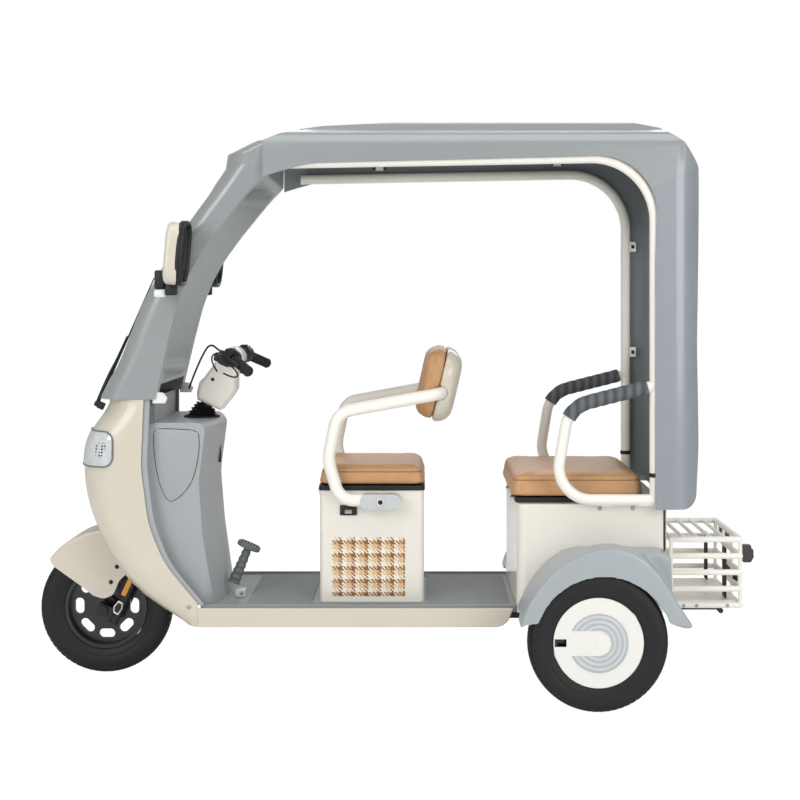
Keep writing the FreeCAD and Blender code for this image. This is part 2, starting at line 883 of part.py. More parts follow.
# Rear edge of the nose in the side view, from the top down
nose_edge_shares = [(0.490, 1.000, 0.0), (0.510, 0.700, 0.5), (0.455, 0.455, 0.5), (0.340, 0.280, 0.5),
                    (0.098, 0.103, 0.0)]


def edge_region(shift, rear_x):
    """Everything behind the nose's rear edge, with the edge moved back by a shift."""
    corners = stretched(nose_edge_shares, nose_tail, nose_front_x, skirt_low, nose_top, nose_top - skirt_low)
    points = [(x + shift, z, r) for x, z, r in corners]
    top = points[0]
    foot = points[-1]
    points[0] = (top[0], top[1] + overrun, 0)
    points += [(foot[0], skirt_low - overrun, 0), (rear_x, skirt_low - overrun, 0),
               (rear_x, nose_top + overrun, 0)]
    return side_prism(points, -2 * skirt_half, 2 * skirt_half)


def wheel_arch():
    return front_prism([(-arch_half, skirt_low - overrun, 0), (arch_half, skirt_low - overrun, 0),
                        (arch_half, arch_top, arch_round), (-arch_half, arch_top, arch_round)],
                       nose_front_x - overrun, nose_tail + overrun)


def lamp_region(side):
    """Oval that the lamp takes out of the nose, in the side view, from the side inwards."""
    y_low, y_high = sorted((side * lamp_inner, side * 2 * skirt_half))
    outline = rounded_rectangle(nose_front_x - overrun, lamp_rear, lamp_low, lamp_high, lamp_round)
    return side_prism(outline, y_low, y_high)


def nose_panel():
    shell = nose_block(0).cut(nose_block(nose_wall))
    trimmed = shell.cut(edge_region(0, nose_tail + overrun)).cut(wheel_arch())
    for side in (-1, 1):
        trimmed = trimmed.cut(lamp_region(side))
    return trimmed


def head_lamp(side):
    lens = nose_block(-lamp_rise).cut(nose_block(lamp_deep)).common(lamp_region(side))
    return lens


# Legshield: a curved sheet along the nose's edge with the dash box standing out of it
dash_shares = [(-0.60, 0.000, 0.00), (-0.60, 1.000, 0.00), (0.990, 1.000, 0.050), (0.910, 0.675, 0.40),
               (1.020, 0.383, 0.50), (1.210, 0.000, 0.00)]


def dash_box(inset):
    low = floor_top + seat_gap
    points = stretched(dash_shares, dash_front, dash_rear, low, dash_top, dash_top - low)
    tall = plan_prism([(2 * nose_front_x, -box_half, 0), (dash_rear + box_round, -box_half, box_round),
                       (dash_rear + box_round, box_half, box_round), (2 * nose_front_x, box_half, 0)],
                      low - overrun, dash_top + overrun, inset)
    return side_prism(points, -2 * box_half, 2 * box_half, inset).common(tall)


def shield_room(inset, low, high):
    """Space between the nose's side walls, narrower towards the top."""
    right = []
    steps = 4
    for i in range(steps + 1):
        share = i / steps
        half = nose_half(share) - nose_wall - lip_inset - inset
        right.append((half, between(skirt_low, nose_top, share), 0))
    left = [(-y, z, 0) for y, z, r in reversed(right)]
    whole = front_prism(right + left, 2 * nose_front_x, 0)
    return whole.common(block(2 * nose_front_x, 0, -skirt_half, skirt_half, low, high))


def inner_shield():
    far = nose_tail + 4 * overrun
    sheet = edge_region(-lip_step, far).cut(edge_region(lip_step, far + overrun))
    core = edge_region(-2 * lip_step, far).cut(edge_region(lip_step - shield_wall, far + overrun))
    low = floor_top + lip_high + seat_gap
    room = shield_room(0, low, nose_top - seat_gap)
    narrow = shield_room(shield_wall, skirt_low, nose_top)
    wall = sheet.common(room).cut(core.common(narrow))
    outside = dash_box(0).common(edge_region(lip_step - shield_wall, far))
    inside = dash_box(shield_wall)
    dropped = inside.copy()
    dropped.translate(V(0, 0, -2 * shield_wall))
    hole = Part.makeCylinder(column_r + 2 * moving_gap, 2 * cover_low, on_axis(0), along)
    shell = fuse_all([wall, outside]).cut(inside).cut(dropped).cut(hole)
    return max(shell.Solids, key=lambda piece: piece.Volume)


def steering_boot():
    """Folded bellows around the column, from the dash box up to just below the cover."""
    low = head_tube_high + moving_gap
    high = cover_low - moving_gap
    step = (high - low) / (2 * boot_folds)
    rings = []
    for i in range(2 * boot_folds):
        share = i / (2 * boot_folds)
        outer = between(boot_low_r, boot_high_r, share)
        inner = outer - boot_fold_deep
        first, second = (outer, inner) if i % 2 == 0 else (inner, outer - boot_fold_deep / boot_folds)
        rings.append(Part.makeCone(first, second, step, V(0, 0, low + i * step)))
    body = steered(fuse_all(rings))
    under = block(2 * nose_front_x, 0, -skirt_half, skirt_half, 0, dash_top + seat_gap)
    bore = Part.makeCylinder(column_r + moving_gap, 2 * cover_low, on_axis(0), along)
    return body.cut(under).cut(bore)


# Windscreen frame: pillars, cowl and brow in one moulding, with the glass set in it
# Each level is a share of the lean, of the height and of the widening from foot to head.
screen_level_shares = [(0.000, 0.000, 0.000), (0.120, 0.138, 0.097), (0.233, 0.295, 0.194),
                       (0.336, 0.434, 0.290), (0.461, 0.559, 0.387), (0.589, 0.684, 0.516),
                       (0.717, 0.789, 0.645), (0.917, 0.935, 0.871), (1.000, 1.000, 1.000)]
brow_level_shares = [(0.977, 0.963, 0.871), (1.002, 1.045, 1.129), (1.188, 1.097, 1.274)]
pillar_edge_shares = [(0.333, -0.084, 0.0), (0.459, 0.226, 1.264), (0.544, 0.418, 0.843),
                      (0.672, 0.580, 0.843), (0.860, 0.727, 0.843), (1.090, 0.888, 0.562),
                      (1.208, 0.959, 0.028), (1.208, 1.219, 0.0), (2.155, 1.219, 0.0), (2.155, -0.084, 0.0)]


def screen_half(share):
    return between(screen_foot_half, screen_head_half, share)


def screen_loft(shares, inset, straight):
    """Solid through level sections that lean back and widen with the pillars."""
    wires = []
    for lean, height, widening in shares:
        x = between(screen_foot_x, screen_head_x, lean)
        z = between(nose_top, screen_head_z, height)
        wires.append(level_section(x - screen_bulge + inset, 2 * screen_bulge, screen_half(widening) - inset,
                                   x + 4 * screen_bulge, z))
    return Part.makeLoft(wires, True, straight)


def screen_block(inset):
    return screen_loft(screen_level_shares, inset, False)


def brow_block():
    return screen_loft(brow_level_shares, 0, True)


def behind_pillars():
    points = stretched(pillar_edge_shares, screen_foot_x, screen_head_x, nose_top, screen_head_z,
                       screen_head_z - nose_top)
    return side_prism(points, -2 * roof_half, 2 * roof_half)


def screen_window(inset):
    low_half = screen_foot_half - pillar_wide
    high_half = screen_half(screen_level_shares[-2][2]) - pillar_wide
    return front_prism([(-low_half, screen_low, screen_corner), (low_half, screen_low, screen_corner),
                        (high_half, screen_high, screen_corner), (-high_half, screen_high, screen_corner)],
                       2 * nose_front_x, 0, inset)


def windscreen_frame():
    whole = screen_block(0).fuse(brow_block())
    shape = whole.cut(behind_pillars()).cut(screen_window(0)).common(canopy_section(0))
    cowl_half = screen_foot_half - pillar_wide
    cowl = block(2 * nose_front_x, 0, -cowl_half, cowl_half, nose_top - overrun, screen_low - pillar_wide / 4)
    hollow = screen_block(pillar_wide / 4).common(cowl)
    return shape.cut(hollow)


def windscreen():
    sheet = screen_block(screen_inset).cut(screen_block(screen_inset + screen_thick)).cut(behind_pillars())
    return sheet.common(screen_window(pane_gap))


# Canopy: roof and rear cover share one outer form, which is hollowed in layers
# Shares run from the roof's seam to the rear, and from the cover's foot to the roof's top.
canopy_outline_shares = [(-0.041, -0.146, 0.0), (0.949, 0.000, 0.0), (0.987, 0.000, 0.040),
                         (0.997, 0.165, 0.260), (0.991, 0.424, 0.780), (1.000, 0.881, 0.035),
                         (0.959, 0.948, 0.052), (0.917, 0.983, 0.052), (0.865, 1.062, 0.0),
                         (0.139, 1.062, 0.0), (0.092, 0.987, 0.035), (0.041, 0.972, 0.069), (-0.041, 0.929, 0.0)]
side_opening_shares = [(-0.390, -0.232, 0.0), (0.892, -0.232, 0.0), (0.892, 0.631, 0.777), (0.899, 0.916, 0.151),
                       (0.111, 0.893, 0.259), (0.040, 0.871, 0.0), (-0.390, 0.717, 0.0)]
seam_shares = [(-1.400, 0.717, 0.0), (0.820, 0.790, 0.0), (1.017, 0.896, 0.0), (1.017, 2.000, 0.0),
               (-1.400, 2.000, 0.0)]
roof_panel_shares = [(0.000, -0.200, 0.0), (1.000, -0.200, 0.0), (1.000, 0.340, 0.0), (0.988, 0.570, 0.15),
                     (0.880, 1.030, 1.20), (0.440, 1.100, 0.0), (0.060, 0.680, 0.80), (0.000, 0.500, 0.08)]


def along_canopy(shares):
    return stretched(shares, roof_seam, canopy_rear, cover_foot, roof_top, roof_top - cover_foot)


def canopy_section(inset):
    """Cross-section of the roof, from the front: side walls, rounded edges and a low crown."""
    eave = roof_top - roof_eave_drop
    shoulder = roof_top - roof_crown_drop
    points = [(-roof_half, 0, 0), (roof_half, 0, 0), (roof_half, eave, roof_side_round),
              (roof_panel_half, shoulder, roof_shoulder_r), (0, roof_top, roof_crown_r),
              (-roof_panel_half, shoulder, roof_shoulder_r), (-roof_half, eave, roof_side_round)]
    return front_prism(points, -cut_reach, cut_reach, inset)


def canopy_block(inset):
    plan = plan_prism([(-cut_reach, -roof_half, 0), (canopy_rear, -roof_half, canopy_rear_round),
                       (canopy_rear, roof_half, canopy_rear_round), (-cut_reach, roof_half, 0)],
                      0, 2 * roof_top, inset)
    profile = side_prism(along_canopy(canopy_outline_shares), -2 * roof_half, 2 * roof_half, inset)
    return profile.common(canopy_section(inset)).common(plan)


def canopy_layer(outer, thick, whole, front_x):
    """Sheet of the canopy between two insets, open in front and at the sides."""
    front = block(-cut_reach, front_x, -2 * roof_half, 2 * roof_half, 0, 2 * roof_top)
    layer = whole.cut(canopy_block(outer + thick)).cut(front)
    return layer.cut(side_prism(along_canopy(side_opening_shares), -2 * roof_half, 2 * roof_half))


def footed(layer, foot_z, thick):
    """A layer cut off at its foot and opened below, apart from the turned-in lip at the rear."""
    foot = block(-cut_reach, cut_reach, -2 * roof_half, 2 * roof_half, 0, foot_z)
    mouth = block(-cut_reach, cover_mouth_x, -roof_half + thick, roof_half - thick,
                  0, cover_foot + 3 * canopy_wall)
    return layer.cut(foot).cut(mouth)


def above_seam(lift):
    points = [(x, z + lift, r) for x, z, r in along_canopy(seam_shares)]
    return side_prism(points, -2 * roof_half, 2 * roof_half)


def roof_panel():
    """Raised middle of the roof, one moulding with it."""
    edge = roof_panel_half - roof_panel_slope
    edge_z = roof_top + roof_panel_edge_rise
    points = [(-roof_panel_half, roof_top - overrun / 2, 0), (roof_panel_half, roof_top - overrun / 2, 0),
              (edge, edge_z, roof_panel_edge_r), (0, roof_top + roof_panel_rise, roof_crown_r),
              (-edge, edge_z, roof_panel_edge_r)]
    eave = roof_top - roof_eave_drop
    ends = side_prism(stretched(roof_panel_shares, roof_panel_front, roof_panel_rear, eave,
                                roof_top + roof_panel_rise, roof_eave_drop + roof_panel_rise),
                      -2 * roof_panel_half, 2 * roof_panel_half)
    return front_prism(points, roof_panel_front, roof_panel_rear).common(ends)


def rear_window(inset):
    return front_prism(rounded_rectangle(-rear_window_half, rear_window_half, rear_window_low, rear_window_high,
                                         rear_window_round), rear_box_rear, cut_reach, inset)


def biggest(shape):
    return max(shape.Solids, key=lambda piece: piece.Volume)


# Cream side frames: a hoop each side, with the loop of the arm rest welded to its post
def hoop_spots(side):
    y = side * side_tube_y
    return [V(hoop_front, y, hoop_front_z), V(hoop_post_x, y, hoop_rear_z), V(hoop_post_x, y, arm_foot_z)]


def arm_spots(side):
    """From the post forward, down and back."""
    y = side * side_tube_y
    return [V(hoop_post_x, y, arm_post_top), V(arm_front_x, y, arm_front_top), V(arm_foot_x, y, arm_foot_z),
            V(hoop_post_x, y, arm_foot_z)]


def side_frame(side):
    hoop = bent_tube(hoop_spots(side), [hoop_bend_r], hoop_r)
    loop = bent_tube(arm_spots(side), [arm_top_bend, arm_foot_bend], arm_r)
    pieces = [hoop, loop, Part.makeSphere(arm_r, hoop_spots(side)[2])]
    for x in (hoop_post_x - 1.5 * tab_half, between(arm_foot_x, hoop_post_x, 0.5)):
        y_low, y_high = sorted((side * tab_inner, side * (side_tube_y + arm_r / 2)))
        pieces.append(block(x - tab_half, x + tab_half, y_low, y_high, rear_box_top, rear_box_top + tab_thick))
    return fuse_all(pieces)


def arm_grip(side):
    """Foam pad over the top of the loop, from near the post round the front bend."""
    spots = [V(p.x, p.y, p.z + grip_pad_lift) for p in arm_spots(side)]
    way = (spots[0] - spots[1]).normalize()
    down = (spots[2] - spots[1]).normalize()
    start = spots[0] - way * 1.5 * hoop_r
    end = spots[1] + down * grip_pad_tail
    pad = bent_tube([start, spots[1], end], [arm_top_bend], grip_pad_r)
    room = bent_tube(arm_spots(side), [arm_top_bend, arm_foot_bend], arm_r + seat_gap)
    return biggest(pad.cut(room))


# Front seat: open box, hinged plate and cushion
def open_box(front, rear, half, low, top, corner, wall):
    outline = rounded_rectangle(front, rear, -half, half, corner)
    return plan_prism(outline, low, top).cut(plan_prism(outline, low + wall, top + wall, wall))


def hinge(x, z, part_of_lid):
    """Knuckles on one axis: the outer two and the pin on the box, the middle one on the lid."""
    pieces = []
    for centre in (-hinge_spread, hinge_spread):
        low = centre - hinge_long / 2
        third = hinge_long / 3
        sideways = V(0, 1, 0)
        for i in range(3):
            if (i == 1) != part_of_lid:
                continue
            y_low = low + i * third + seat_gap
            y_high = y_low + third - 2 * seat_gap
            knuckle = Part.makeCylinder(hinge_r, y_high - y_low, V(x, y_low, z), sideways)
            leaf_low = z if part_of_lid else z - 3 * hinge_r
            leaf_high = leaf_low + 3 * hinge_r - (hinge_leaf if part_of_lid else 0)
            leaf_rear = x + hinge_r + (0 if part_of_lid else 2 * seat_gap)
            pieces.append(knuckle.fuse(block(x, leaf_rear, y_low, y_high, leaf_low, leaf_high)))
        if part_of_lid:
            pin_room = Part.makeCylinder(hinge_pin_r + pin_gap, 2 * hinge_long, V(x, low - third, z), sideways)
            pieces[-1] = pieces[-1].cut(pin_room)
        else:
            pin_long = hinge_long - 2 * seat_gap
            pieces.append(Part.makeCylinder(hinge_pin_r, pin_long, V(x, low + seat_gap, z), sideways))
    return pieces


def pillow(front, rear, half, low, top):
    """Plain closed form of a cushion, with rounded plan corners and edges."""
    solid = plan_prism(rounded_rectangle(front, rear, -half, half, cushion_round), low, top)
    edges = [e for e in solid.Edges if e.BoundBox.ZMin > top - seat_gap]
    return solid.makeFillet(cushion_edge, edges)


front_hinge_x = seat_box_front - hinge_r - seat_gap
front_hinge_z = seat_box_top - hinge_r
front_plate_low = seat_box_top + seat_gap
front_plate_top = front_plate_low + seat_plate_thick


def front_seat_box():
    box = open_box(seat_box_front, seat_box_rear, seat_box_half, floor_top + seat_gap, seat_box_top,
                   seat_box_round, seat_box_wall)
    return fuse_all([box] + hinge(front_hinge_x, front_hinge_z, False) + pivot_bosses())


def front_seat_plate():
    half = seat_box_half + seat_plate_over
    outline = rounded_rectangle(seat_box_front - seat_plate_over, seat_box_rear + seat_plate_over,
                                -half, half, seat_box_round)
    plate = plan_prism(outline, front_plate_low, front_plate_top)
    return fuse_all([plate] + hinge(front_hinge_x, front_hinge_z, True))


def front_seat_cushion():
    return pillow(seat_box_front - cushion_over, seat_box_rear + cushion_over, seat_box_half + cushion_over,
                  front_plate_top + seat_gap, cushion_top)


# Front backrest: pivot bosses on the box, sockets, one bent tube, shell and pad
def pivot_bosses():
    pieces = []
    for side in (-1, 1):
        sideways = V(0, side, 0)
        base = V(pivot_x, side * seat_box_half, pivot_z)
        boss = Part.makeCylinder(boss_r, boss_high + seat_gap, base - sideways * seat_gap, sideways)
        reach = socket_inner + socket_thick - seat_box_half
        bolt = Part.makeCylinder(pivot_r, reach + pivot_r, base, sideways)
        nut = Part.makeCylinder(1.8 * pivot_r, pivot_r, base + sideways * (reach + seat_gap), sideways)
        pieces.append(fuse_all([boss, bolt, nut]))
    return pieces


def backrest_tube(radius):
    foot_z = pivot_z + back_tube_lift
    left = [V(pivot_x - socket_nose * 0.62, -back_tube_y, foot_z), V(back_foot_x, -back_tube_y, foot_z),
            V(back_belly_x, -back_tube_y, back_belly_z), V(back_shoulder_x, -back_tube_y, back_shoulder_z),
            V(back_cross_x, -back_tube_y, back_cross_z), V(back_cross_x, 0, back_cross_z)]
    right = [V(p.x, -p.y, p.z) for p in reversed(left[:-1])]
    bends = [back_foot_bend, back_belly_bend, back_shoulder_bend, back_cross_bend]
    return bent_tube(left[:-1] + right, bends + list(reversed(bends)), radius)


def socket_piece(side):
    """Rounded casting that turns on the pivot bolt and holds the tube's end."""
    y_low, y_high = sorted((side * socket_inner, side * (socket_inner + socket_thick)))
    outline = rounded_rectangle(pivot_x - socket_nose, pivot_x + socket_tail, pivot_z - socket_half,
                                pivot_z + socket_half, socket_half * 0.9)
    return side_prism(outline, y_low, y_high).cut(bolt_room(side, pivot_r + pin_gap))


def bolt_room(side, radius):
    inner = V(pivot_x, side * socket_inner / 2, pivot_z)
    return rod(inner, V(pivot_x, side * 2 * socket_inner, pivot_z), radius)


def backrest_sockets():
    tube = backrest_tube(back_tube_r + seat_gap)
    return [socket_piece(side).cut(tube) for side in (-1, 1)]


def backrest_frame():
    tube = backrest_tube(back_tube_r)
    for side in (-1, 1):
        tube = tube.cut(bolt_room(side, 1.9 * pivot_r))
    return tube


def leaning(shape):
    turned = shape.copy()
    turned.rotate(V(back_cross_x, 0, back_cross_z), V(0, 1, 0), pad_lean_deg)
    return turned


def backrest_shell():
    outline = rounded_rectangle(-pad_half, pad_half, pad_low, pad_high, pad_round)
    solid = front_prism(outline, back_cross_x - back_tube_r / 2, back_cross_x - back_tube_r / 2 + shell_thick)
    edges = [e for e in solid.Edges if e.BoundBox.XMin > back_cross_x]
    return leaning(solid.makeFillet(shell_edge, edges)).cut(backrest_tube(back_tube_r + seat_gap))


def backrest_pad():
    outline = rounded_rectangle(-pad_half, pad_half, pad_low, pad_high, pad_round)
    rear = back_cross_x - back_tube_r / 2 - seat_gap
    solid = front_prism(outline, rear - pad_thick, rear)
    edges = [e for e in solid.Edges if e.BoundBox.XMax < rear - pad_edge]
    return leaning(solid.makeFillet(pad_edge, edges)).cut(backrest_tube(back_tube_r + seat_gap))


# Rear seat
rear_hinge_x = rear_box_front - hinge_r - seat_gap
rear_hinge_z = rear_box_top - hinge_r
rear_plate_low = rear_box_top + seat_gap
rear_plate_top = rear_plate_low + seat_plate_thick


def rear_seat_box():
    outline = rounded_rectangle(rear_box_front, rear_box_rear, -rear_box_half, rear_box_half, rear_box_round)
    low = floor_top - floor_thick
    outside = plan_prism(outline, low, rear_box_top)
    room_half = rear_cushion_half - rear_box_wall
    upper = block(rear_box_front + rear_box_wall, rear_box_deck - rear_box_wall, -room_half, room_half,
                  rear_box_floor, rear_box_top + overrun)
    lower = plan_prism(outline, low - overrun, rear_box_floor - rear_box_wall, rear_box_wall)
    tail = block(rear_box_deck, rear_box_rear - rear_box_wall, -rear_box_half + rear_box_wall,
                 rear_box_half - rear_box_wall, low - overrun, rear_box_top - rear_box_wall)
    box = outside.cut(upper).cut(lower).cut(tail)
    return fuse_all([box] + hinge(rear_hinge_x, rear_hinge_z, False))


def rear_seat_plate():
    half = rear_cushion_half - seat_plate_over
    outline = rounded_rectangle(rear_box_front - seat_plate_over, rear_cushion_rear, -half, half, seat_box_round)
    plate = plan_prism(outline, rear_plate_low, rear_plate_top)
    return fuse_all([plate] + hinge(rear_hinge_x, rear_hinge_z, True))


def rear_seat_cushion():
    return pillow(rear_cushion_front, rear_cushion_rear, rear_cushion_half,
                  rear_plate_top + seat_gap, rear_cushion_top)


def battery():
    x = between(rear_box_front, rear_box_deck, 0.5)
    low = rear_box_floor + seat_gap
    return block(x - battery_long / 2, x + battery_long / 2, -battery_wide / 2, battery_wide / 2,
                 low, low + battery_high)


# Rear mudguards: hollow, open below and towards the wheel
fender_outline_shares = [(0.000, 0.000, 0.0), (0.018, 0.344, 0.830), (0.102, 0.851, 0.373),
                         (0.361, 1.000, 0.913), (0.817, 0.992, 0.050), (0.827, 0.635, 0.124),
                         (0.914, 0.344, 0.249), (0.942, 0.120, 0.066), (0.998, 0.079, 0.025), (1.000, 0.012, 0.0)]


def rear_fender():
    inner_y = rear_box_half + seat_gap
    outline = stretched(fender_outline_shares, fender_front, fender_rear, fender_low, fender_top,
                        fender_top - fender_low)
    outside = side_prism(outline, -fender_half, -inner_y)
    hollow = side_prism(outline, -fender_half + fender_wall, 0, fender_wall)
    below = hollow.copy()
    below.translate(V(0, 0, -3 * fender_wall))
    arch_z = rear_tyre_r + arch_lift
    arch = rod(V(rear_axle_x, -2 * fender_half, arch_z), V(rear_axle_x, -inner_y - fender_edge, arch_z),
               fender_arch_r)
    shell = outside.cut(hollow).cut(below).cut(arch)
    return biggest(shell)


# Rear axle with its motor, leaf springs and dampers
def rear_axle():
    hub_inner = rear_track_half - rear_tyre_half * hub_half_share - moving_gap
    centre = V(rear_axle_x, 0, rear_tyre_r)
    sideways = V(0, 1, 0)
    pieces = [rod(centre - sideways * hub_inner, centre + sideways * hub_inner, axle_tube_r)]
    motor = Part.makeCylinder(motor_r, 2 * motor_half, centre - sideways * motor_half, sideways)
    pieces.append(motor.makeFillet(motor_r * 0.2, [e for e in motor.Edges if e.Closed]))
    for side in (-1, 1):
        drum_inner = hub_inner - motor_r * 0.4
        drum = rod(centre + sideways * side * drum_inner, centre + sideways * side * hub_inner, drum_r)
        end = rear_track_half + rear_tyre_half * rim_half_share - 2 * seat_gap
        stub = rod(centre, centre + sideways * side * end, axle_r)
        pieces += [drum, stub]
    return fuse_all(pieces)


def leaf_spring(side):
    """Stack of leaves under the rail, from the front eye to the rear shackle, over the axle tube."""
    y = side * spring_y
    low = rear_tyre_r + axle_tube_r + seat_gap
    pieces = []
    for i in range(spring_count):
        reach = spring_half_long * (1 - 0.24 * (spring_count - 1 - i))
        z = low + i * spring_thick
        rise = spring_sag * (reach / spring_half_long) ** 2
        start = V(rear_axle_x - reach, y, z + rise)
        middle = V(rear_axle_x, y, z)
        end = V(rear_axle_x + reach, y, z + rise)
        arc = Part.Arc(start, middle, end).toShape()
        back = Part.Arc(end + V(0, 0, spring_thick + spring_step), middle + V(0, 0, spring_thick + spring_step),
                        start + V(0, 0, spring_thick + spring_step)).toShape()
        wire = Part.Wire([arc, Part.LineSegment(end, end + V(0, 0, spring_thick + spring_step)).toShape(), back,
                          Part.LineSegment(start + V(0, 0, spring_thick + spring_step), start).toShape()])
        leaf = Part.Face(wire).extrude(V(0, spring_wide, 0))
        leaf.translate(V(0, -spring_wide / 2, 0))
        pieces.append(leaf)
    inner_y = side * (rail_inner + rail_wide / 2)
    outer_y = side * (spring_y + spring_wide / 2)
    y_low, y_high = sorted((inner_y, outer_y))
    top = low + spring_count * spring_thick + spring_sag
    rail_low = rail_top - rail_high + rail_kick_rise
    for way in (-1, 1):
        x = rear_axle_x + way * (spring_half_long - spring_thick)
        pieces.append(block(x - spring_thick, x + spring_thick, y_low, y_high,
                            top - 2 * spring_thick, rail_low - seat_gap))
    return fuse_all(pieces)


# Basket: rails all round, corner posts, cross bars and a floor plate
def basket():
    pieces = []
    post_low = basket_low
    for i in range(basket_rails):
        z = between(basket_low, basket_high, i / (basket_rails - 1))
        spots = [(basket_front, -basket_half), (basket_rear, -basket_half), (basket_rear, basket_half),
                 (basket_front, basket_half)]
        for j in range(4):
            a = spots[j]
            b = spots[(j + 1) % 4]
            pieces.append(rod(V(a[0], a[1], z), V(b[0], b[1], z), basket_rail_r))
            pieces.append(Part.makeSphere(basket_rail_r, V(a[0], a[1], z)))
    for x in (basket_front, basket_rear):
        for y in (-basket_half, basket_half):
            pieces.append(rod(V(x, y, post_low), V(x, y, basket_high), basket_bar_r))
    for y in (-basket_half / 3, basket_half / 3):
        for x in (basket_front, basket_rear):
            pieces.append(rod(V(x, y, post_low), V(x, y, basket_high), basket_bar_r * 0.8))
    for i in range(basket_bars):
        x = between(basket_front, basket_rear, (i + 1) / (basket_bars + 1))
        pieces.append(rod(V(x, -basket_half, basket_high), V(x, basket_half, basket_high), basket_bar_r))
        pieces.append(rod(V(x, -basket_half, basket_low), V(x, basket_half, basket_low), basket_bar_r))
    return fuse_all(pieces)


def basket_floor():
    low = basket_low + basket_bar_r + seat_gap
    inset = basket_rail_r + seat_gap
    return block(basket_front + inset, basket_rear - inset, -basket_half + inset, basket_half - inset,
                 low, low + basket_floor_thick)


def tail_lamps():
    lamps = []
    for side in (-1, 1):
        y = side * (basket_half - tail_lamp_wide / 2)
        front = basket_rear + basket_rail_r + seat_gap
        z = between(basket_low, basket_high, 0.78)
        shoulder = front + tail_lamp_deep * 0.7
        low = z - tail_lamp_high / 2
        high = z + tail_lamp_high / 2
        outline = [(front, low, tail_lamp_round), (shoulder, low, tail_lamp_round),
                   (front + tail_lamp_deep, z - tail_lamp_high / 6, 2 * tail_lamp_round),
                   (shoulder, high, tail_lamp_round), (front, high, tail_lamp_round)]
        lamps.append(side_prism(outline, y - tail_lamp_wide / 2, y + tail_lamp_wide / 2))
    return lamps


def plate_bracket():
    """Flat bracket for a number plate across the basket's back, with its two holes."""
    front = basket_rear + basket_rail_r + seat_gap
    z = between(basket_low, basket_high, 1.5 / (basket_rails - 1))
    plate = block(front, front + plate_thick, -plate_wide / 2, plate_wide / 2,
                  z - plate_high / 2, z + plate_high / 2)
    for y in (-plate_hole_pitch / 2, plate_hole_pitch / 2):
        plate = plate.cut(rod(V(front - overrun, y, z), V(front + overrun, y, z), plate_hole_r))
    return plate


def rear_bar():
    """Black carrier under the basket, from the rails' ends."""
    rail_low = rail_top - rail_high + rail_kick_rise
    z = basket_low - basket_rail_r - bumper_r - seat_gap
    pieces = []
    for side in (-1, 1):
        y = side * (rail_inner + 1.1 * bumper_r)
        spots = [V(rail_rear - 3 * bumper_r, y, rail_low - seat_gap), V(rail_rear - 3 * bumper_r, y, z),
                 V(basket_rear - overrun, y, z)]
        pieces.append(bent_tube(spots, [3 * bumper_r], bumper_r))
    cross_x = basket_rear - overrun
    pieces.append(rod(V(cross_x, -basket_half, z), V(cross_x, basket_half, z), bumper_r))
    return fuse_all(pieces)


# Mirrors on the pillars
def mirror_parts(side):
    y_low, y_high = sorted((side * mirror_inner, side * mirror_outer))
    middle = V(mirror_x, (y_low + y_high) / 2, (mirror_low + mirror_high) / 2)
    outline = rounded_rectangle(y_low, y_high, mirror_low, mirror_high, mirror_round)
    solid = front_prism(outline, mirror_x - mirror_thick / 2, mirror_x + mirror_thick / 2)
    front_edges = [e for e in solid.Edges if e.BoundBox.XMax < mirror_x]
    shell = solid.makeFillet(mirror_edge, front_edges)
    rear = mirror_x + mirror_thick / 2
    pane = front_prism(outline, rear - mirror_pane, rear, mirror_pane)
    pocket = front_prism(outline, rear - mirror_pane - seat_gap, rear + mirror_thick, mirror_pane - seat_gap)
    cup = shell.cut(pocket)
    for shape in (cup, pane):
        shape.rotate(middle, V(0, 1, 0), mirror_lean_deg)
    foot_y = side * (mirror_inner + mirror_round)
    root = V(mirror_root_x, side * mirror_root_y, mirror_root_z)
    knee = V(mirror_x - mirror_arm_r, foot_y, mirror_low - 2 * mirror_arm_r)
    arm = fuse_all([rod(root, knee, mirror_arm_r), Part.makeSphere(mirror_arm_r * 1.5, knee),
                    rod(knee, V(mirror_x - mirror_arm_r, foot_y, mirror_low + mirror_round / 2), mirror_arm_r)])
    arm = biggest(arm.cut(screen_block(-seat_gap)))
    return [fuse_all([cup, arm]), pane]


# Wiper on the glass
def wiper():
    foot = V(wiper_foot_x, wiper_y, wiper_foot_z)
    way = (V(wiper_top_x, wiper_y, wiper_top_z) - foot).normalize()
    out = V(-way.z, 0, way.x)
    pivot = rod(foot + out * wiper_stand, foot - out * wiper_sink, wiper_pivot_r)
    arm = rod(foot + out * wiper_stand / 2, foot + way * wiper_arm_long + out * wiper_stand * 0.75, wiper_arm_r)
    blade = rod(foot + way * wiper_blade_start, foot + way * (wiper_blade_start + wiper_blade_long),
                wiper_blade_half)
    return fuse_all([pivot, arm, blade]).cut(screen_block(-seat_gap)).cut(nose_block(-seat_gap))


# Brake pedal: oval pad on a tapered boot that comes out of the shield, over a bracket on the floor
def brake_pedal():
    outline = rounded_rectangle(-pedal_half_long, pedal_half_long, -pedal_half_wide, pedal_half_wide,
                                pedal_half_wide * 0.9)
    pad = plan_prism(outline, -pedal_thick / 2, pedal_thick / 2)
    pad = pad.makeFillet(pedal_thick * 0.4, [e for e in pad.Edges if e.BoundBox.ZLength < pedal_thick / 2])
    pad.rotate(V(0, 0, 0), V(0, 1, 0), pedal_tilt_deg)
    pad.translate(V(pedal_x, pedal_y, pedal_z))
    foot = V(pedal_foot_x, pedal_y, pedal_foot_z)
    rise = V(pedal_x, pedal_y, pedal_z) - foot
    boot = Part.makeCone(pedal_foot_r, pedal_stalk_r, rise.Length, foot, rise)
    base = block(pedal_foot_x, pedal_foot_x + pedal_base_long, pedal_y - pedal_base_half,
                 pedal_y + pedal_base_half, floor_top + seat_gap, floor_top + pedal_base_high)
    return biggest(fuse_all([pad, boot, base]).cut(dash_box(-seat_gap)))


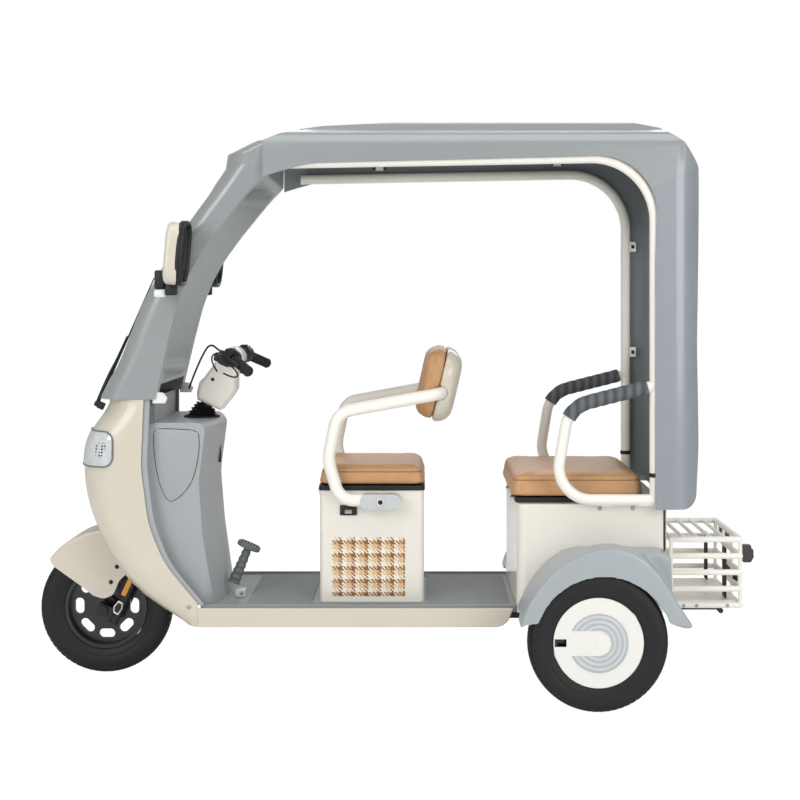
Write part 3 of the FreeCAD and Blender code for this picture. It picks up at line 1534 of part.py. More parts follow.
# Write every node
save("front_tyre", tyre(front_tyre_r, front_tyre_half, front_rim_r, front_axle_x, 0))
save("front_rim", wheel_rim(front_rim_r, front_tyre_half, front_hub_r, front_disc_half,
                            front_axle_x, 0, front_tyre_r, slot_count))
for side, hand in ((-1, "left"), (1, "right")):
    y = side * rear_track_half
    save("rear_tyre_" + hand, tyre(rear_tyre_r, rear_tyre_half, rear_rim_r, rear_axle_x, y))
    save("rear_rim_" + hand, wheel_rim(rear_rim_r, rear_tyre_half, rear_hub_r, front_disc_half,
                                       rear_axle_x, y, rear_tyre_r, 0))
    save("rear_wheel_cover_" + hand, wheel_cover(side))
save("fork", fork())
save("front_mudguard", front_guard())
save("handlebar", handlebar())
save("grips", [grip(-1), grip(1)])
save("column_cover", column_cover())
save("instrument_cap", instrument_cap())
save("brake_cable", brake_cable())
save("floor_board", floor_board())
save("side_skirts", both_sides(skirt()))
save("chassis", chassis())
save("nose_panel", nose_panel())
save("head_lamps", [head_lamp(-1), head_lamp(1)])
save("inner_shield", inner_shield())
save("steering_boot", steering_boot())
shell_layer = canopy_layer(0, canopy_wall, fuse_all([canopy_block(0), roof_panel()]),
                           roof_seam + moving_gap + seat_gap)
lining_inset = canopy_wall + lining_gap
lining_layer = canopy_layer(lining_inset, lining_wall, canopy_block(lining_inset), lining_front)
save("windscreen_frame", biggest(windscreen_frame()))
save("windscreen", windscreen())
save("roof_shell", biggest(shell_layer.common(above_seam(seat_gap))))
save("rear_cover", biggest(footed(shell_layer.cut(above_seam(0)), cover_foot, canopy_wall).cut(rear_window(0))))
lining = footed(lining_layer, cover_foot + lining_foot, 2 * canopy_wall)
save("canopy_lining", biggest(lining.cut(rear_window(0))))
pane = canopy_block(pane_inset).cut(canopy_block(pane_inset + pane_thick)).common(rear_window(pane_gap))
save("rear_window", biggest(pane))
save("canopy_frame", [side_frame(-1), side_frame(1)])
save("arm_grips", [arm_grip(-1), arm_grip(1)])
save("front_seat_box", front_seat_box())
save("front_seat_plate", front_seat_plate())
save("front_seat_cushion", front_seat_cushion())
save("backrest_sockets", backrest_sockets())
save("backrest_frame", backrest_frame())
save("backrest_shell", backrest_shell())
save("backrest_pad", backrest_pad())
save("rear_seat_box", rear_seat_box())
save("rear_seat_plate", rear_seat_plate())
save("rear_seat_cushion", rear_seat_cushion())
save("battery", battery())
save("rear_fenders", both_sides(rear_fender()))
save("rear_axle", rear_axle())
save("leaf_springs", [leaf_spring(-1), leaf_spring(1)])
save("basket", basket())
save("basket_floor", basket_floor())
save("tail_lamps", tail_lamps())
save("plate_bracket", plate_bracket())
save("rear_bar", rear_bar())
mirror_left = mirror_parts(-1)
mirror_right = mirror_parts(1)
save("mirrors", [mirror_left[0], mirror_right[0]])
save("mirror_panes", [mirror_left[1], mirror_right[1]])
save("wiper", wiper())
save("brake_pedal", brake_pedal())
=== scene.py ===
# %% [markdown]
# # An electric tricycle with a canopy
# The vehicle is built to size as solid parts, and this lesson gives them their looks.
# We load those parts first, because every piece that we make later sits on one of them.
# They could be moved to fit the pieces, but a frame that never moves keeps the joints true.

# %% Load the parts
import json
import math

import bmesh
import bpy
from mathutils import Matrix, Vector


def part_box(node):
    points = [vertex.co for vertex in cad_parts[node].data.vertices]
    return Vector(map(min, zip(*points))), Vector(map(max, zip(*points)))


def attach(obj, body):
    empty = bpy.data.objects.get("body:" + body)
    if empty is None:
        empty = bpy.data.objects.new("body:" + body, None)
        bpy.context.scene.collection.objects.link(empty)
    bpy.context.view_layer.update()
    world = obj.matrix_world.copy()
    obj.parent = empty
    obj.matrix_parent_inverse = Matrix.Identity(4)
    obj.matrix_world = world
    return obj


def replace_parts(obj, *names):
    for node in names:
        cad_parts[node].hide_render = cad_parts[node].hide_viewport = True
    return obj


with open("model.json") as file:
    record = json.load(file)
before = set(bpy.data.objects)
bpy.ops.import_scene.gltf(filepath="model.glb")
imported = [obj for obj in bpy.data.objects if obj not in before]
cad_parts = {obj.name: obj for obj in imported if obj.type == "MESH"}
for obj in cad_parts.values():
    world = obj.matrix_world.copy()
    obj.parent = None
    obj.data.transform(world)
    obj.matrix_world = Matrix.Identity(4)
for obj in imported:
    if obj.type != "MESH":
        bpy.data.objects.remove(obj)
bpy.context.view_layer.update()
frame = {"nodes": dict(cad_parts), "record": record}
nodes = frame["nodes"]
behaviour = frame["record"]["behaviour"]
body_of_node = {n: body for body, names in behaviour["bodies"].items() for n in names}
hands = ((-1, "left"), (1, "right"))


def box_of(node):
    """Two opposite corners of the box round a part."""
    return tuple(Vector(corner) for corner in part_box(node))


def in_scene(name, data):
    """Object with this data, linked into the scene."""
    made = bpy.data.objects.new(name, data)
    bpy.context.scene.collection.objects.link(made)
    return made


def mesh_of(name, bm):
    """Mesh with what a bmesh holds. The bmesh is used up."""
    mesh = bpy.data.meshes.new(name)
    bm.to_mesh(mesh)
    bm.free()
    return mesh


print("parts in the frame:", len(nodes))

# %% [markdown]
# ## The camera
# The picture was taken from the driver's left, level, with a long lens, so little is foreshortened.
# We could tilt a camera at the middle of the vehicle, but upright posts would then lean together.
# A level camera with a shifted picture keeps them upright.

# %% Place the camera
camera_data = bpy.data.cameras.new("camera")
camera_data.lens = 65.7
camera_data.sensor_width = 36.0
camera_data.shift_x = -0.0275
camera_data.shift_y = -0.1325
camera = in_scene("camera", camera_data)
camera.location = (0.098, -4.700, 1.213)
camera.rotation_euler = (math.radians(90), 0, 0)
bpy.context.scene.camera = camera
bpy.context.scene.view_settings.view_transform = "Standard"
print("camera at", tuple(camera.location))

# %% [markdown]
# ## Helpers for materials
# A finish is a small graph of nodes. One function adds a node with its settings and links.
# Colours are picked as screen values, and light adds up in linear values, so one function turns
# the first into the second.

# %% Colour and node helpers
def linear(code, share=1.0):
    """Screen colour such as 'e8dfcd' as linear red, green, blue and alpha, dimmed or raised by a share."""
    parts = [int(code[i:i + 2], 16) / 255 for i in (0, 2, 4)]
    return tuple(min(1.0, share * (c / 12.92 if c <= 0.04045 else ((c + 0.055) / 1.055) ** 2.4))
                 for c in parts) + (1.0,)


def add(tree, kind, inputs=None, **settings):
    """Adds a node. Settings are its own choices, inputs are constants or the sockets that feed it."""
    made = tree.nodes.new(kind)
    for name, value in settings.items():
        setattr(made, name, value)
    for name, value in (inputs or {}).items():
        if isinstance(value, bpy.types.NodeSocket):
            tree.links.new(value, made.inputs[name])
        else:
            made.inputs[name].default_value = value
    return made


def new_finish(name, colour, roughness, **inputs):
    """Material with one shader, and its place on the object. Returns the tree, shader and place."""
    material = bpy.data.materials.new(name)
    material.use_nodes = True
    tree = material.node_tree
    shader = tree.nodes["Principled BSDF"]
    shader.inputs["Base Color"].default_value = linear(colour)
    shader.inputs["Roughness"].default_value = roughness
    for key, value in inputs.items():
        shader.inputs[key.replace("_", " ")].default_value = value
    place = add(tree, "ShaderNodeTexCoord").outputs["Object"]
    return material, tree, shader, place


def millimetres(size):
    """Texture scale that makes one cell of a pattern this many millimetres across."""
    return 1000.0 / size


print("linear of mid grey:", round(linear("808080")[0], 3))

# %% [markdown]
# ## Painted and moulded panels
# The cream panels are moulded ABS with a clear glossy coat. They are nearly one colour,
# with a faint drift from panel to panel and the soft ripple that sprayed paint dries with.
# A picture of paint would need unwrapping; noise in object space needs none, so it is used.

# %% Panel finishes
drift_mm = 180


def moulded(name, colour, roughness, drift=0.03, ripple_mm=9.0, ripple=0.02, grain_mm=None, grain=0.0, **inputs):
    """Plastic or paint: a slow drift of colour, a ripple or grain in the surface, worn a little unevenly."""
    material, tree, shader, place = new_finish(name, colour, roughness, **inputs)
    slow = add(tree, "ShaderNodeTexNoise", {"Vector": place, "Scale": millimetres(drift_mm), "Detail": 3.0})
    tint = add(tree, "ShaderNodeMix", {0: slow.outputs["Fac"], 6: linear(colour, 1 - drift),
                                       7: linear(colour, 1 + drift)}, data_type="RGBA")
    tree.links.new(tint.outputs[2], shader.inputs["Base Color"])
    worn = add(tree, "ShaderNodeMapRange", {"Value": slow.outputs["Fac"], "To Min": roughness * 0.88,
                                            "To Max": min(1.0, roughness * 1.14)})
    tree.links.new(worn.outputs["Result"], shader.inputs["Roughness"])
    fine = add(tree, "ShaderNodeTexNoise", {"Vector": place, "Scale": millimetres(ripple_mm), "Detail": 2.0})
    bump = add(tree, "ShaderNodeBump", {"Height": fine.outputs["Fac"], "Strength": ripple, "Distance": 0.001})
    if grain_mm:
        pits = add(tree, "ShaderNodeTexVoronoi", {"Vector": place, "Scale": millimetres(grain_mm)})
        bump = add(tree, "ShaderNodeBump", {"Height": pits.outputs["Distance"], "Strength": grain,
                                            "Distance": 0.0004, "Normal": bump.outputs["Normal"]})
    tree.links.new(bump.outputs["Normal"], shader.inputs["Normal"])
    return material


def coat(weight, roughness):
    """Clear lacquer over a finish: how much of it, and how dull it is."""
    return {"Coat_Weight": weight, "Coat_Roughness": roughness}


cream_abs = moulded("cream_abs_clear_coated", "d8d0bf", 0.30, **coat(0.6, 0.08))
box_abs = moulded("pale_cream_box_abs", "f0ebe0", 0.30, **coat(0.5, 0.10))
cream_tube = moulded("cream_powder_coat", "fcf9f0", 0.34, ripple_mm=4.0, ripple=0.05, **coat(0.25, 0.15))
silver_paint = moulded("silver_grey_metallic_paint", "9ba0a1", 0.36, drift=0.04, Metallic=0.15, **coat(0.5, 0.12))
cover_paint = moulded("blue_grey_metallic_paint", "959ba1", 0.34, drift=0.04, Metallic=0.15, **coat(0.5, 0.12))
fender_abs = moulded("blue_grey_abs", "a9b0b4", 0.36, drift=0.03, **coat(0.3, 0.2))
dash_abs = moulded("grey_dash_abs", "a9adaf", 0.44, drift=0.04, grain_mm=1.6, grain=0.2)
shield_abs = moulded("grey_grained_abs", "8f9494", 0.46, drift=0.05, grain_mm=1.6, grain=0.25)
# Dark grey ABS; on the pillars' inner feet its darkness is partly painted shade.
shadow_abs = moulded("dark_grey_abs_and_painted_shade", "6e7678", 0.5, drift=0.06, grain_mm=1.6, grain=0.25)
dark_lining = moulded("charcoal_lining", "83888a", 0.40, drift=0.10, grain_mm=2.0, grain=0.30)
black_abs = moulded("black_grained_abs", "17181a", 0.48, drift=0.12, grain_mm=1.4, grain=0.30)
black_steel = moulded("black_powder_coat", "1a1b1c", 0.42, drift=0.15, ripple_mm=3.0, ripple=0.10)
rim_paint = moulded("black_rim_enamel", "131415", 0.28, drift=0.12, **coat(0.4, 0.12))
white_abs = moulded("white_cover_abs", "f1efe8", 0.28, drift=0.02, **coat(0.5, 0.08))
ring_abs = moulded("pale_grey_ring_abs", "c9cdcd", 0.34, drift=0.03)
rubber = moulded("moulded_rubber", "151516", 0.62, drift=0.18, grain_mm=1.2, grain=0.30)
steel = moulded("zinc_plated_steel", "b9bbb8", 0.30, drift=0.08, Metallic=1.0)
print("panel finishes:", len(bpy.data.materials))

# %% [markdown]
# ## Glass, mirror and small reflectors
# The windscreen is clear: a thin shell that lets light straight through is lighter to render
# than real refraction and looks the same on a pane this thin. The rear lamps and the fork's
# amber stripe are clear plastic with a pattern of small pillows moulded inside.

# %% Clear and bright finishes
def clear_pane(name, colour, alpha, roughness=0.03, **inputs):
    """Glass or clear plastic with a faint haze of dust."""
    material, tree, shader, place = new_finish(name, colour, roughness, Alpha=alpha, Specular_IOR_Level=0.7,
                                               **inputs)
    dust = add(tree, "ShaderNodeTexNoise", {"Vector": place, "Scale": millimetres(70), "Detail": 4.0})
    haze = add(tree, "ShaderNodeMapRange", {"Value": dust.outputs["Fac"], "To Min": roughness,
                                            "To Max": roughness + 0.05})
    tree.links.new(haze.outputs["Result"], shader.inputs["Roughness"])
    return material


def lens_plastic(name, colour, cell_mm):
    """Coloured lens with its pattern of pillows."""
    material, tree, shader, place = new_finish(name, colour, 0.08, Specular_IOR_Level=0.8)
    pillows = add(tree, "ShaderNodeTexVoronoi", {"Vector": place, "Scale": millimetres(cell_mm),
                                                 "Randomness": 0.15})
    bump = add(tree, "ShaderNodeBump", {"Height": pillows.outputs["Distance"], "Strength": 0.6, "Distance": 0.002})
    tree.links.new(bump.outputs["Normal"], shader.inputs["Normal"])
    return material


screen_glass = clear_pane("clear_screen", "dfe6e6", 0.16)
mirror_glass = clear_pane("silvered_glass", "dfe3e4", 1.0, 0.02, Metallic=1.0)
red_lens = lens_plastic("red_lens", "200a0a", 4.0)
amber = lens_plastic("amber_reflector", "e39a2c", 3.0)
print("clear and bright finishes:", len(bpy.data.materials))

# %% [markdown]
# ## Synthetic leather, foam and tyre rubber
# The seats wear a tan synthetic leather: pebbled about 3 mm across, with a soft sheen on the
# high spots and slightly darker valleys. The grain is drawn a little coarser than life, so that
# it still shows at this size. Foam is banded and porous, and the tyre's rubber is matt.

# %% Soft finishes
def leathered(name, colour, grain_mm, roughness=0.45):
    """Pebbled leather: small cells for the grain, broad creases for the colour."""
    material, tree, shader, place = new_finish(name, colour, roughness, **coat(0.12, 0.35))
    cells = add(tree, "ShaderNodeTexVoronoi", {"Vector": place, "Scale": millimetres(grain_mm)},
                feature="SMOOTH_F1")
    creases = add(tree, "ShaderNodeTexNoise", {"Vector": place, "Scale": millimetres(45), "Detail": 6.0})
    tint = add(tree, "ShaderNodeMix", {0: creases.outputs["Fac"], 6: linear(colour, 0.80), 7: linear(colour, 1.10)},
               data_type="RGBA")
    deep = add(tree, "ShaderNodeMapRange", {"Value": cells.outputs["Distance"], "From Max": 0.6, "To Min": 1.0,
                                            "To Max": 0.90})
    shade = add(tree, "ShaderNodeMix", {0: 1.0, 6: tint.outputs[2], 7: deep.outputs["Result"]}, data_type="RGBA",
                blend_type="MULTIPLY")
    tree.links.new(shade.outputs[2], shader.inputs["Base Color"])
    first = add(tree, "ShaderNodeBump", {"Height": creases.outputs["Fac"], "Strength": 0.25, "Distance": 0.004})
    bump = add(tree, "ShaderNodeBump", {"Height": cells.outputs["Distance"], "Strength": 0.35, "Distance": 0.0008,
                                        "Normal": first.outputs["Normal"]}, invert=True)
    tree.links.new(bump.outputs["Normal"], shader.inputs["Normal"])
    return material


tan_leather = leathered("tan_synthetic_leather", "d3a270", 3.2)
seam_thread = leathered("tan_piping", "b08152", 1.6, 0.5)
foam, tree, shader, place = new_finish("grey_banded_foam", "5d6266", 0.75)
bands_along = add(tree, "ShaderNodeTexWave", {"Vector": place, "Scale": millimetres(28.0) / 3.2})
tint = add(tree, "ShaderNodeMix", {0: bands_along.outputs["Fac"], 6: linear("494e51"), 7: linear("6a7074")},
           data_type="RGBA")
tree.links.new(tint.outputs[2], shader.inputs["Base Color"])
pores = add(tree, "ShaderNodeTexNoise", {"Vector": place, "Scale": millimetres(3.0)})
bump = add(tree, "ShaderNodeBump", {"Height": pores.outputs["Fac"], "Strength": 0.4, "Distance": 0.0006})
tree.links.new(bump.outputs["Normal"], shader.inputs["Normal"])
tyre_rubber = moulded("tyre_rubber", "0b0b0c", 0.55, drift=0.22, ripple_mm=6.0, ripple=0.10, grain_mm=1.5,
                      grain=0.2)
print("all finishes so far:", len(bpy.data.materials))

# %% [markdown]
# ## Floor and light
# The picture has a plain white ground. A white floor under soft light would show grey, so what the
# camera sees of it is mixed with plain white, and a faint shadow is left where the wheels stand.
# Big area lamps stand for the studio's soft boxes, and give the panels long soft highlights.

# %% Floor, sky and lamps
white = (1.0, 1.0, 1.0, 1.0)
floor_bm = bmesh.new()
bmesh.ops.create_grid(floor_bm, x_segments=1, y_segments=1, size=30.0)
floor = in_scene("floor", mesh_of("floor", floor_bm))
floor_material, tree, shader, place = new_finish("pale_floor", "ffffff", 0.9)
rays = add(tree, "ShaderNodeLightPath")
plain = add(tree, "ShaderNodeEmission", {"Color": white, "Strength": 1.11})
share = add(tree, "ShaderNodeMath", {0: rays.outputs["Is Camera Ray"], 1: 0.88}, operation="MULTIPLY")
mix = add(tree, "ShaderNodeMixShader", {0: share.outputs[0], 1: shader.outputs[0], 2: plain.outputs[0]})
tree.links.new(mix.outputs[0], tree.nodes["Material Output"].inputs["Surface"])
floor.data.materials.append(floor_material)

world = bpy.data.worlds.new("studio")
bpy.context.scene.world = world
world.use_nodes = True
tree = world.node_tree
rays = add(tree, "ShaderNodeLightPath")
seen = add(tree, "ShaderNodeBackground", {"Color": white, "Strength": 1.0})
soft = tree.nodes["Background"]
soft.inputs["Color"].default_value = (0.98, 0.99, 1.0, 1.0)
soft.inputs["Strength"].default_value = 0.42
mix = add(tree, "ShaderNodeMixShader", {0: rays.outputs["Is Camera Ray"], 1: soft.outputs[0], 2: seen.outputs[0]})
tree.links.new(mix.outputs[0], tree.nodes["World Output"].inputs["Surface"])


def soft_box(name, place, aim, wide, high, power):
    """Area lamp that looks at a point."""
    lamp = bpy.data.lights.new(name, "AREA")
    lamp.shape = "RECTANGLE"
    lamp.size = wide
    lamp.size_y = high
    lamp.energy = power
    holder = in_scene(name, lamp)
    holder.location = place
    holder.rotation_euler = (Vector(aim) - Vector(place)).to_track_quat("-Z", "Y").to_euler()


soft_box("overhead", (0.3, -1.0, 4.6), (0.0, 0.0, 0.6), 4.0, 3.0, 60)
soft_box("key", (-2.6, -3.6, 2.6), (0.0, 0.0, 0.8), 2.0, 2.6, 64)
soft_box("fill", (2.8, -3.8, 1.8), (0.2, 0.0, 0.7), 2.4, 2.4, 56)
soft_box("behind", (0.5, 3.6, 2.8), (0.0, 0.0, 0.9), 3.5, 2.0, 40)
print("lamps:", len(bpy.data.lights))

# %% [markdown]
# ## Dressing a part that already has the right shape
# Many panels only need clean shading: a copy of the part's mesh has its double points merged, flat
# faces joined, and its hard edges rounded by a bevel a millimetre or two wide, which is what
# catches light on a real moulding. Curved faces shade smooth below a chosen angle.
# Modelling them again would risk leaving the built shape, so the copy is refined instead.

# %% Helpers that make a piece
panel_deg = 32.0
merge_near = 0.00001


def make_piece(name, bm, finish, body, smooth_deg, outward=True):
    """Turns a bmesh into an object that rides on a body and wears a finish. It is shaded smooth
    except across edges sharper than an angle."""
    if outward:
        bmesh.ops.recalc_face_normals(bm, faces=bm.faces)
    for face in bm.faces:
        face.smooth = True
    for edge in bm.edges:
        edge.smooth = len(edge.link_faces) == 2 and edge.calc_face_angle(math.pi) < math.radians(smooth_deg)
    mesh = mesh_of(name, bm)
    mesh.materials.append(finish)
    piece = in_scene(name, mesh)
    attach(piece, body)
    return piece


def bevelled(piece, width_mm):
    """Rounds a piece's hard edges, and keeps its flat faces flat in the light."""
    bevel = piece.modifiers.new("rounding", "BEVEL")
    bevel.width = width_mm / 1000
    bevel.segments = 2
    bevel.limit_method = "ANGLE"
    bevel.angle_limit = math.radians(panel_deg)
    bevel.use_clamp_overlap = True
    weighted = piece.modifiers.new("even_light", "WEIGHTED_NORMAL")
    weighted.keep_sharp = True


def part_copy(node, join_deg=0.6):
    """The part's mesh as a bmesh with its doubles merged and its flat faces joined."""
    bm = bmesh.new()
    bm.from_mesh(nodes[node].data)
    bmesh.ops.remove_doubles(bm, verts=bm.verts, dist=2 * merge_near)
    bmesh.ops.dissolve_limit(bm, angle_limit=math.radians(join_deg), verts=bm.verts, edges=bm.edges)
    return bm


def cut(bm, place, facing, **options):
    """Cuts a bmesh by a plane, and clears a side of it if asked."""
    everything = bm.verts[:] + bm.edges[:] + bm.faces[:]
    bmesh.ops.bisect_plane(bm, geom=everything, plane_co=place, plane_no=facing, **options)


def dress(node, finish, round_mm):
    """A finer copy of one part, in its place."""
    piece = make_piece(node + "_dressed", part_copy(node), finish, body_of_node[node],
                       panel_deg, outward=False)
    if round_mm:
        bevelled(piece, round_mm)
    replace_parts(piece, node)


plain_parts = {
    "chassis": (black_steel, 1.5), "floor_board": (shield_abs, 2.0), "side_skirts": (cream_abs, 3.0),
    "nose_panel": (cream_abs, 2.0), "windscreen_frame": (silver_paint, 3.0), "roof_shell": (silver_paint, 2.0),
    "rear_cover": (cover_paint, 2.0), "canopy_lining": (dark_lining, 1.0), "canopy_frame": (cream_tube, 1.0),
    "front_seat_box": (box_abs, 3.0), "rear_seat_box": (box_abs, 3.0), "front_mudguard": (cream_abs, 2.0),
    "fork": (black_steel, 1.0), "handlebar": (black_abs, 1.0), "front_seat_plate": (black_abs, 2.0),
    "rear_seat_plate": (black_abs, 2.0), "backrest_frame": (cream_tube, 0.0), "backrest_sockets": (ring_abs, 3.0),
    "rear_wheel_cover_left": (white_abs, 1.0), "rear_wheel_cover_right": (white_abs, 1.0),
    "front_rim": (rim_paint, 1.0), "rear_rim_left": (rim_paint, 1.0), "rear_rim_right": (rim_paint, 1.0),
    "basket": (cream_tube, 0.0), "basket_floor": (cream_tube, 1.0), "mirrors": (cream_abs, 2.0),
    "tail_lamps": (red_lens, 1.5), "plate_bracket": (black_steel, 0.8), "rear_bar": (black_steel, 0.0),
    "rear_axle": (black_steel, 2.0), "leaf_springs": (black_steel, 1.0), "brake_cable": (rubber, 0.0),
    "battery": (black_abs, 3.0),
}
for node, (finish, round_mm) in plain_parts.items():
    dress(node, finish, round_mm)
print("dressed parts:", len(plain_parts))

# %% [markdown]
# ## The dash
# The dash box is wide beside the rider's feet and bulges to the rear in the middle. Its part is a
# plain box there, so a copy is cut into strips across and its rear face is drawn forward towards
# the sides. Bending it with a lattice would do the same, but a cut shows where each strip ends.

# %% Round the dash
dash_half, dash_front_x, dash_depth, strip = 0.226, -0.700, 0.170, 0.026
middle_draw, foot_draw, side_draw = 0.012, 0.024, 0.031
floor_z, knee_height = 0.30, 0.5


def share_of(value):
    """A value kept between nought and one."""
    return min(1.0, max(0.0, value))


bm = part_copy("inner_shield")
for i in range(-8, 9):
    cut(bm, (0, i * strip, 0), (0, 1, 0))
for v in bm.verts:
    if abs(v.co.y) < dash_half + 0.0025:
        foot_share = 1 - share_of((v.co.z - floor_z) / knee_height)
        draw = middle_draw + foot_draw * foot_share + side_draw * (v.co.y / dash_half) ** 2
        v.co.x -= share_of((v.co.x - dash_front_x) / dash_depth) * draw
dash = make_piece("inner_shield_rounded", bm, dash_abs, body_of_node["inner_shield"],
                  panel_deg, outward=False)
bevelled(dash, 2.0)
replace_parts(dash, "inner_shield")
print("dash faces:", len(dash.data.polygons))

# %% [markdown]
# ## Tyres
# A tyre is a profile turned once round the axle. Its tread is cut into blocks: each face of the
# tread is drawn in and raised, and the grooves are what is left between. A bump would be lighter,
# but the blocks break the tyre's outline, and that shows from the side.

# %% Turn the tyres
tread_steps, block_high, groove_half = 64, 0.0032, 0.0026
tyre_wall = [(0.74, 0.001), (0.80, 0.004), (0.84, 0.010), (0.92, 0.018), (0.905, 0.021), (0.960, 0.029),
             (0.972, 0.030), (0.972, 0.032), (0.985, 0.034), (0.998, 0.042), (0.985, 0.052), (0.930, 0.0585),
             (0.950, 0.0600), (0.935, 0.0630)]
tyre_tread = [(0.80, 0.0085), (0.62, 0.0038), (0.36, 0.0012), (0.12, 0.0)]


def tyre(name, node, rim_share):
    """Tyre from its wall (share of half the width, height over the rim) and tread (share, depth)."""
    low, high = box_of(node)
    centre = (low + high) / 2
    half = (high.y - low.y) / 2
    outer = (high.z - low.z) / 2
    rim = outer * rim_share
    tread_r = outer - block_high
    right = [(y, rim + up) for y, up in tyre_wall] + [(y, tread_r - down) for y, down in tyre_tread]
    profile = [(y * half, r) for y, r in right] + [(-y * half, r) for y, r in reversed(right)]
    profile.append(profile[0])
    bm = bmesh.new()
    verts = [bm.verts.new(centre + Vector((0, y, r))) for y, r in profile]
    edges = [bm.edges.new(pair) for pair in zip(verts, verts[1:])]
    bmesh.ops.spin(bm, geom=verts + edges, cent=centre, axis=(0, 1, 0), angle=math.tau, steps=tread_steps,
                   use_merge=True)
    bmesh.ops.remove_doubles(bm, verts=bm.verts, dist=merge_near)
    bmesh.ops.recalc_face_normals(bm, faces=bm.faces)
    blocks = []
    for face in bm.faces:
        away = face.calc_center_median() - centre
        if math.hypot(away.x, away.z) > tread_r - 0.0075:
            blocks.append(face)
    bmesh.ops.inset_individual(bm, faces=blocks, thickness=groove_half, depth=block_high * 0.92)
    piece = make_piece(name, bm, tyre_rubber, body_of_node[node], 28.0)
    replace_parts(piece, node)
    return len(blocks)


for node, rim_share in (("front_tyre", 0.628), ("rear_tyre_left", 0.641), ("rear_tyre_right", 0.641)):
    print(node, "has tread blocks:", tyre(node + "_treaded", node, rim_share))

# %% [markdown]
# ## Rear wheel covers
# Each rear wheel wears a flat white cover with a pale ring, open to the front like a horseshoe.
# The ring has round ridges about 14 mm apart. They are shallow, so a bump that follows the
# distance from the hub draws them, and the ring's own step stays in the mesh.

# %% Ridged ring on the covers
ridge_pitch, ring_step = 0.0145, 0.0008
flat_y = (1.0, 0.0, 1.0)
cover_low, cover_high = box_of("rear_wheel_cover_left")
hub = (cover_low + cover_high) / 2
ridged, tree, shader, place = new_finish("pale_grey_ridged_ring", "c6cbcd", 0.34)
centred = add(tree, "ShaderNodeMapping", {"Vector": place, "Location": (-hub.x, 0.0, -hub.z), "Scale": flat_y})
away = add(tree, "ShaderNodeVectorMath", {0: centred.outputs[0]}, operation="LENGTH")
turns = add(tree, "ShaderNodeMath", {0: away.outputs["Value"], 1: math.tau / ridge_pitch}, operation="MULTIPLY")
wave = add(tree, "ShaderNodeMath", {0: turns.outputs[0]}, operation="SINE")
bump = add(tree, "ShaderNodeBump", {"Height": wave.outputs[0], "Strength": 0.8, "Distance": 0.0016})
tree.links.new(bump.outputs["Normal"], shader.inputs["Normal"])
# The colour follows the ridges' wave, lighter on crests and darker in troughs: painted light and shade.
pale = add(tree, "ShaderNodeMapRange", {"Value": wave.outputs[0], "From Min": -1.0, "To Min": 0.0})
tint = add(tree, "ShaderNodeMix", {0: pale.outputs["Result"], 6: linear("b9bfc2"), 7: linear("d6d9da")},
           data_type="RGBA")
tree.links.new(tint.outputs[2], shader.inputs["Base Color"])
for side, hand in hands:
    cover = bpy.data.objects["rear_wheel_cover_" + hand + "_dressed"].data
    cover.materials.append(ridged)
    outer = max(abs(v.co.y) for v in cover.vertices)
    for face in cover.polygons:
        if min(abs(cover.vertices[i].co.y) for i in face.vertices) > outer - ring_step:
            face.material_index = 1
print("ring faces:", sum(1 for f in cover.polygons if f.material_index == 1))

# %% [markdown]
# ## Padded seats
# The cushions are foam under sewn synthetic leather. The foam pushes out between the seams, so a
# plain block with round edges looks wrong. Each is made as in life: the block is remeshed,
# blown up a little as cloth, held at its base, and then the seam is pressed in.
# The swelling is capped, so that the cushion keeps to its place.

# %% Blow up the cushions
padding_fill, piping_r, cloth_frames = 0.8, 0.0022, 20


def apply_all(piece):
    """Bakes a piece's modifiers into its mesh."""
    graph = bpy.context.evaluated_depsgraph_get()
    baked = bpy.data.meshes.new_from_object(piece.evaluated_get(graph))
    piece.modifiers.clear()
    old = piece.data
    piece.data = baked
    bpy.data.meshes.remove(old)


def even_faces(piece, voxel):
    """Remeshes a piece into one skin of small even faces."""
    remesh = piece.modifiers.new("even_faces", "REMESH")
    remesh.mode = "VOXEL"
    remesh.voxel_size = voxel
    remesh.use_smooth_shade = True
    apply_all(piece)


def smooth_piece(piece, times):
    """Evens a skin out by moving each point towards its neighbours."""
    bm = bmesh.new()
    bm.from_mesh(piece.data)
    for _ in range(times):
        bmesh.ops.smooth_vert(bm, verts=bm.verts, factor=0.5, use_axis_x=True, use_axis_y=True, use_axis_z=True)
    bm.to_mesh(piece.data)
    bm.free()


def swollen(node, name, voxel, cap, shrink, held_axis, held_side):
    """Copy of a padded part, swelled as cloth from inside while one side is held."""
    low, high = box_of(node)
    middle = (low + high) / 2
    bm = part_copy(node)
    bmesh.ops.recalc_face_normals(bm, faces=bm.faces)
    for axis in range(3):
        factor = 1 - 2 * shrink / (high[axis] - low[axis])
        for v in bm.verts:
            v.co[axis] = middle[axis] + (v.co[axis] - middle[axis]) * factor
    piece = in_scene(name, mesh_of(name, bm))
    even_faces(piece, voxel)
    rest = [v.co.copy() for v in piece.data.vertices]
    edge = low[held_axis] if held_side < 0 else high[held_axis]
    held = [i for i, co in enumerate(rest) if abs(co[held_axis] - edge) < 2 * voxel + shrink]
    piece.vertex_groups.new(name="held").add(held, 1.0, "REPLACE")
    cloth = piece.modifiers.new("stuffing", "CLOTH")
    cloth.settings.use_pressure = True
    cloth.settings.uniform_pressure_force = 4.0
    cloth.settings.effector_weights.gravity = 0.0
    cloth.settings.vertex_group_mass = "held"
    cloth.settings.quality = 5
    cloth.point_cache.frame_start = 1
    cloth.point_cache.frame_end = cloth_frames
    for number in range(1, cloth_frames + 1):
        bpy.context.scene.frame_set(number)
    apply_all(piece)
    for v, start in zip(piece.data.vertices, rest):
        step = v.co - start
        if step.length > cap:
            v.co = start + step.normalized() * cap
    bpy.context.scene.frame_set(1)
    smooth_piece(piece, 4)
    return piece


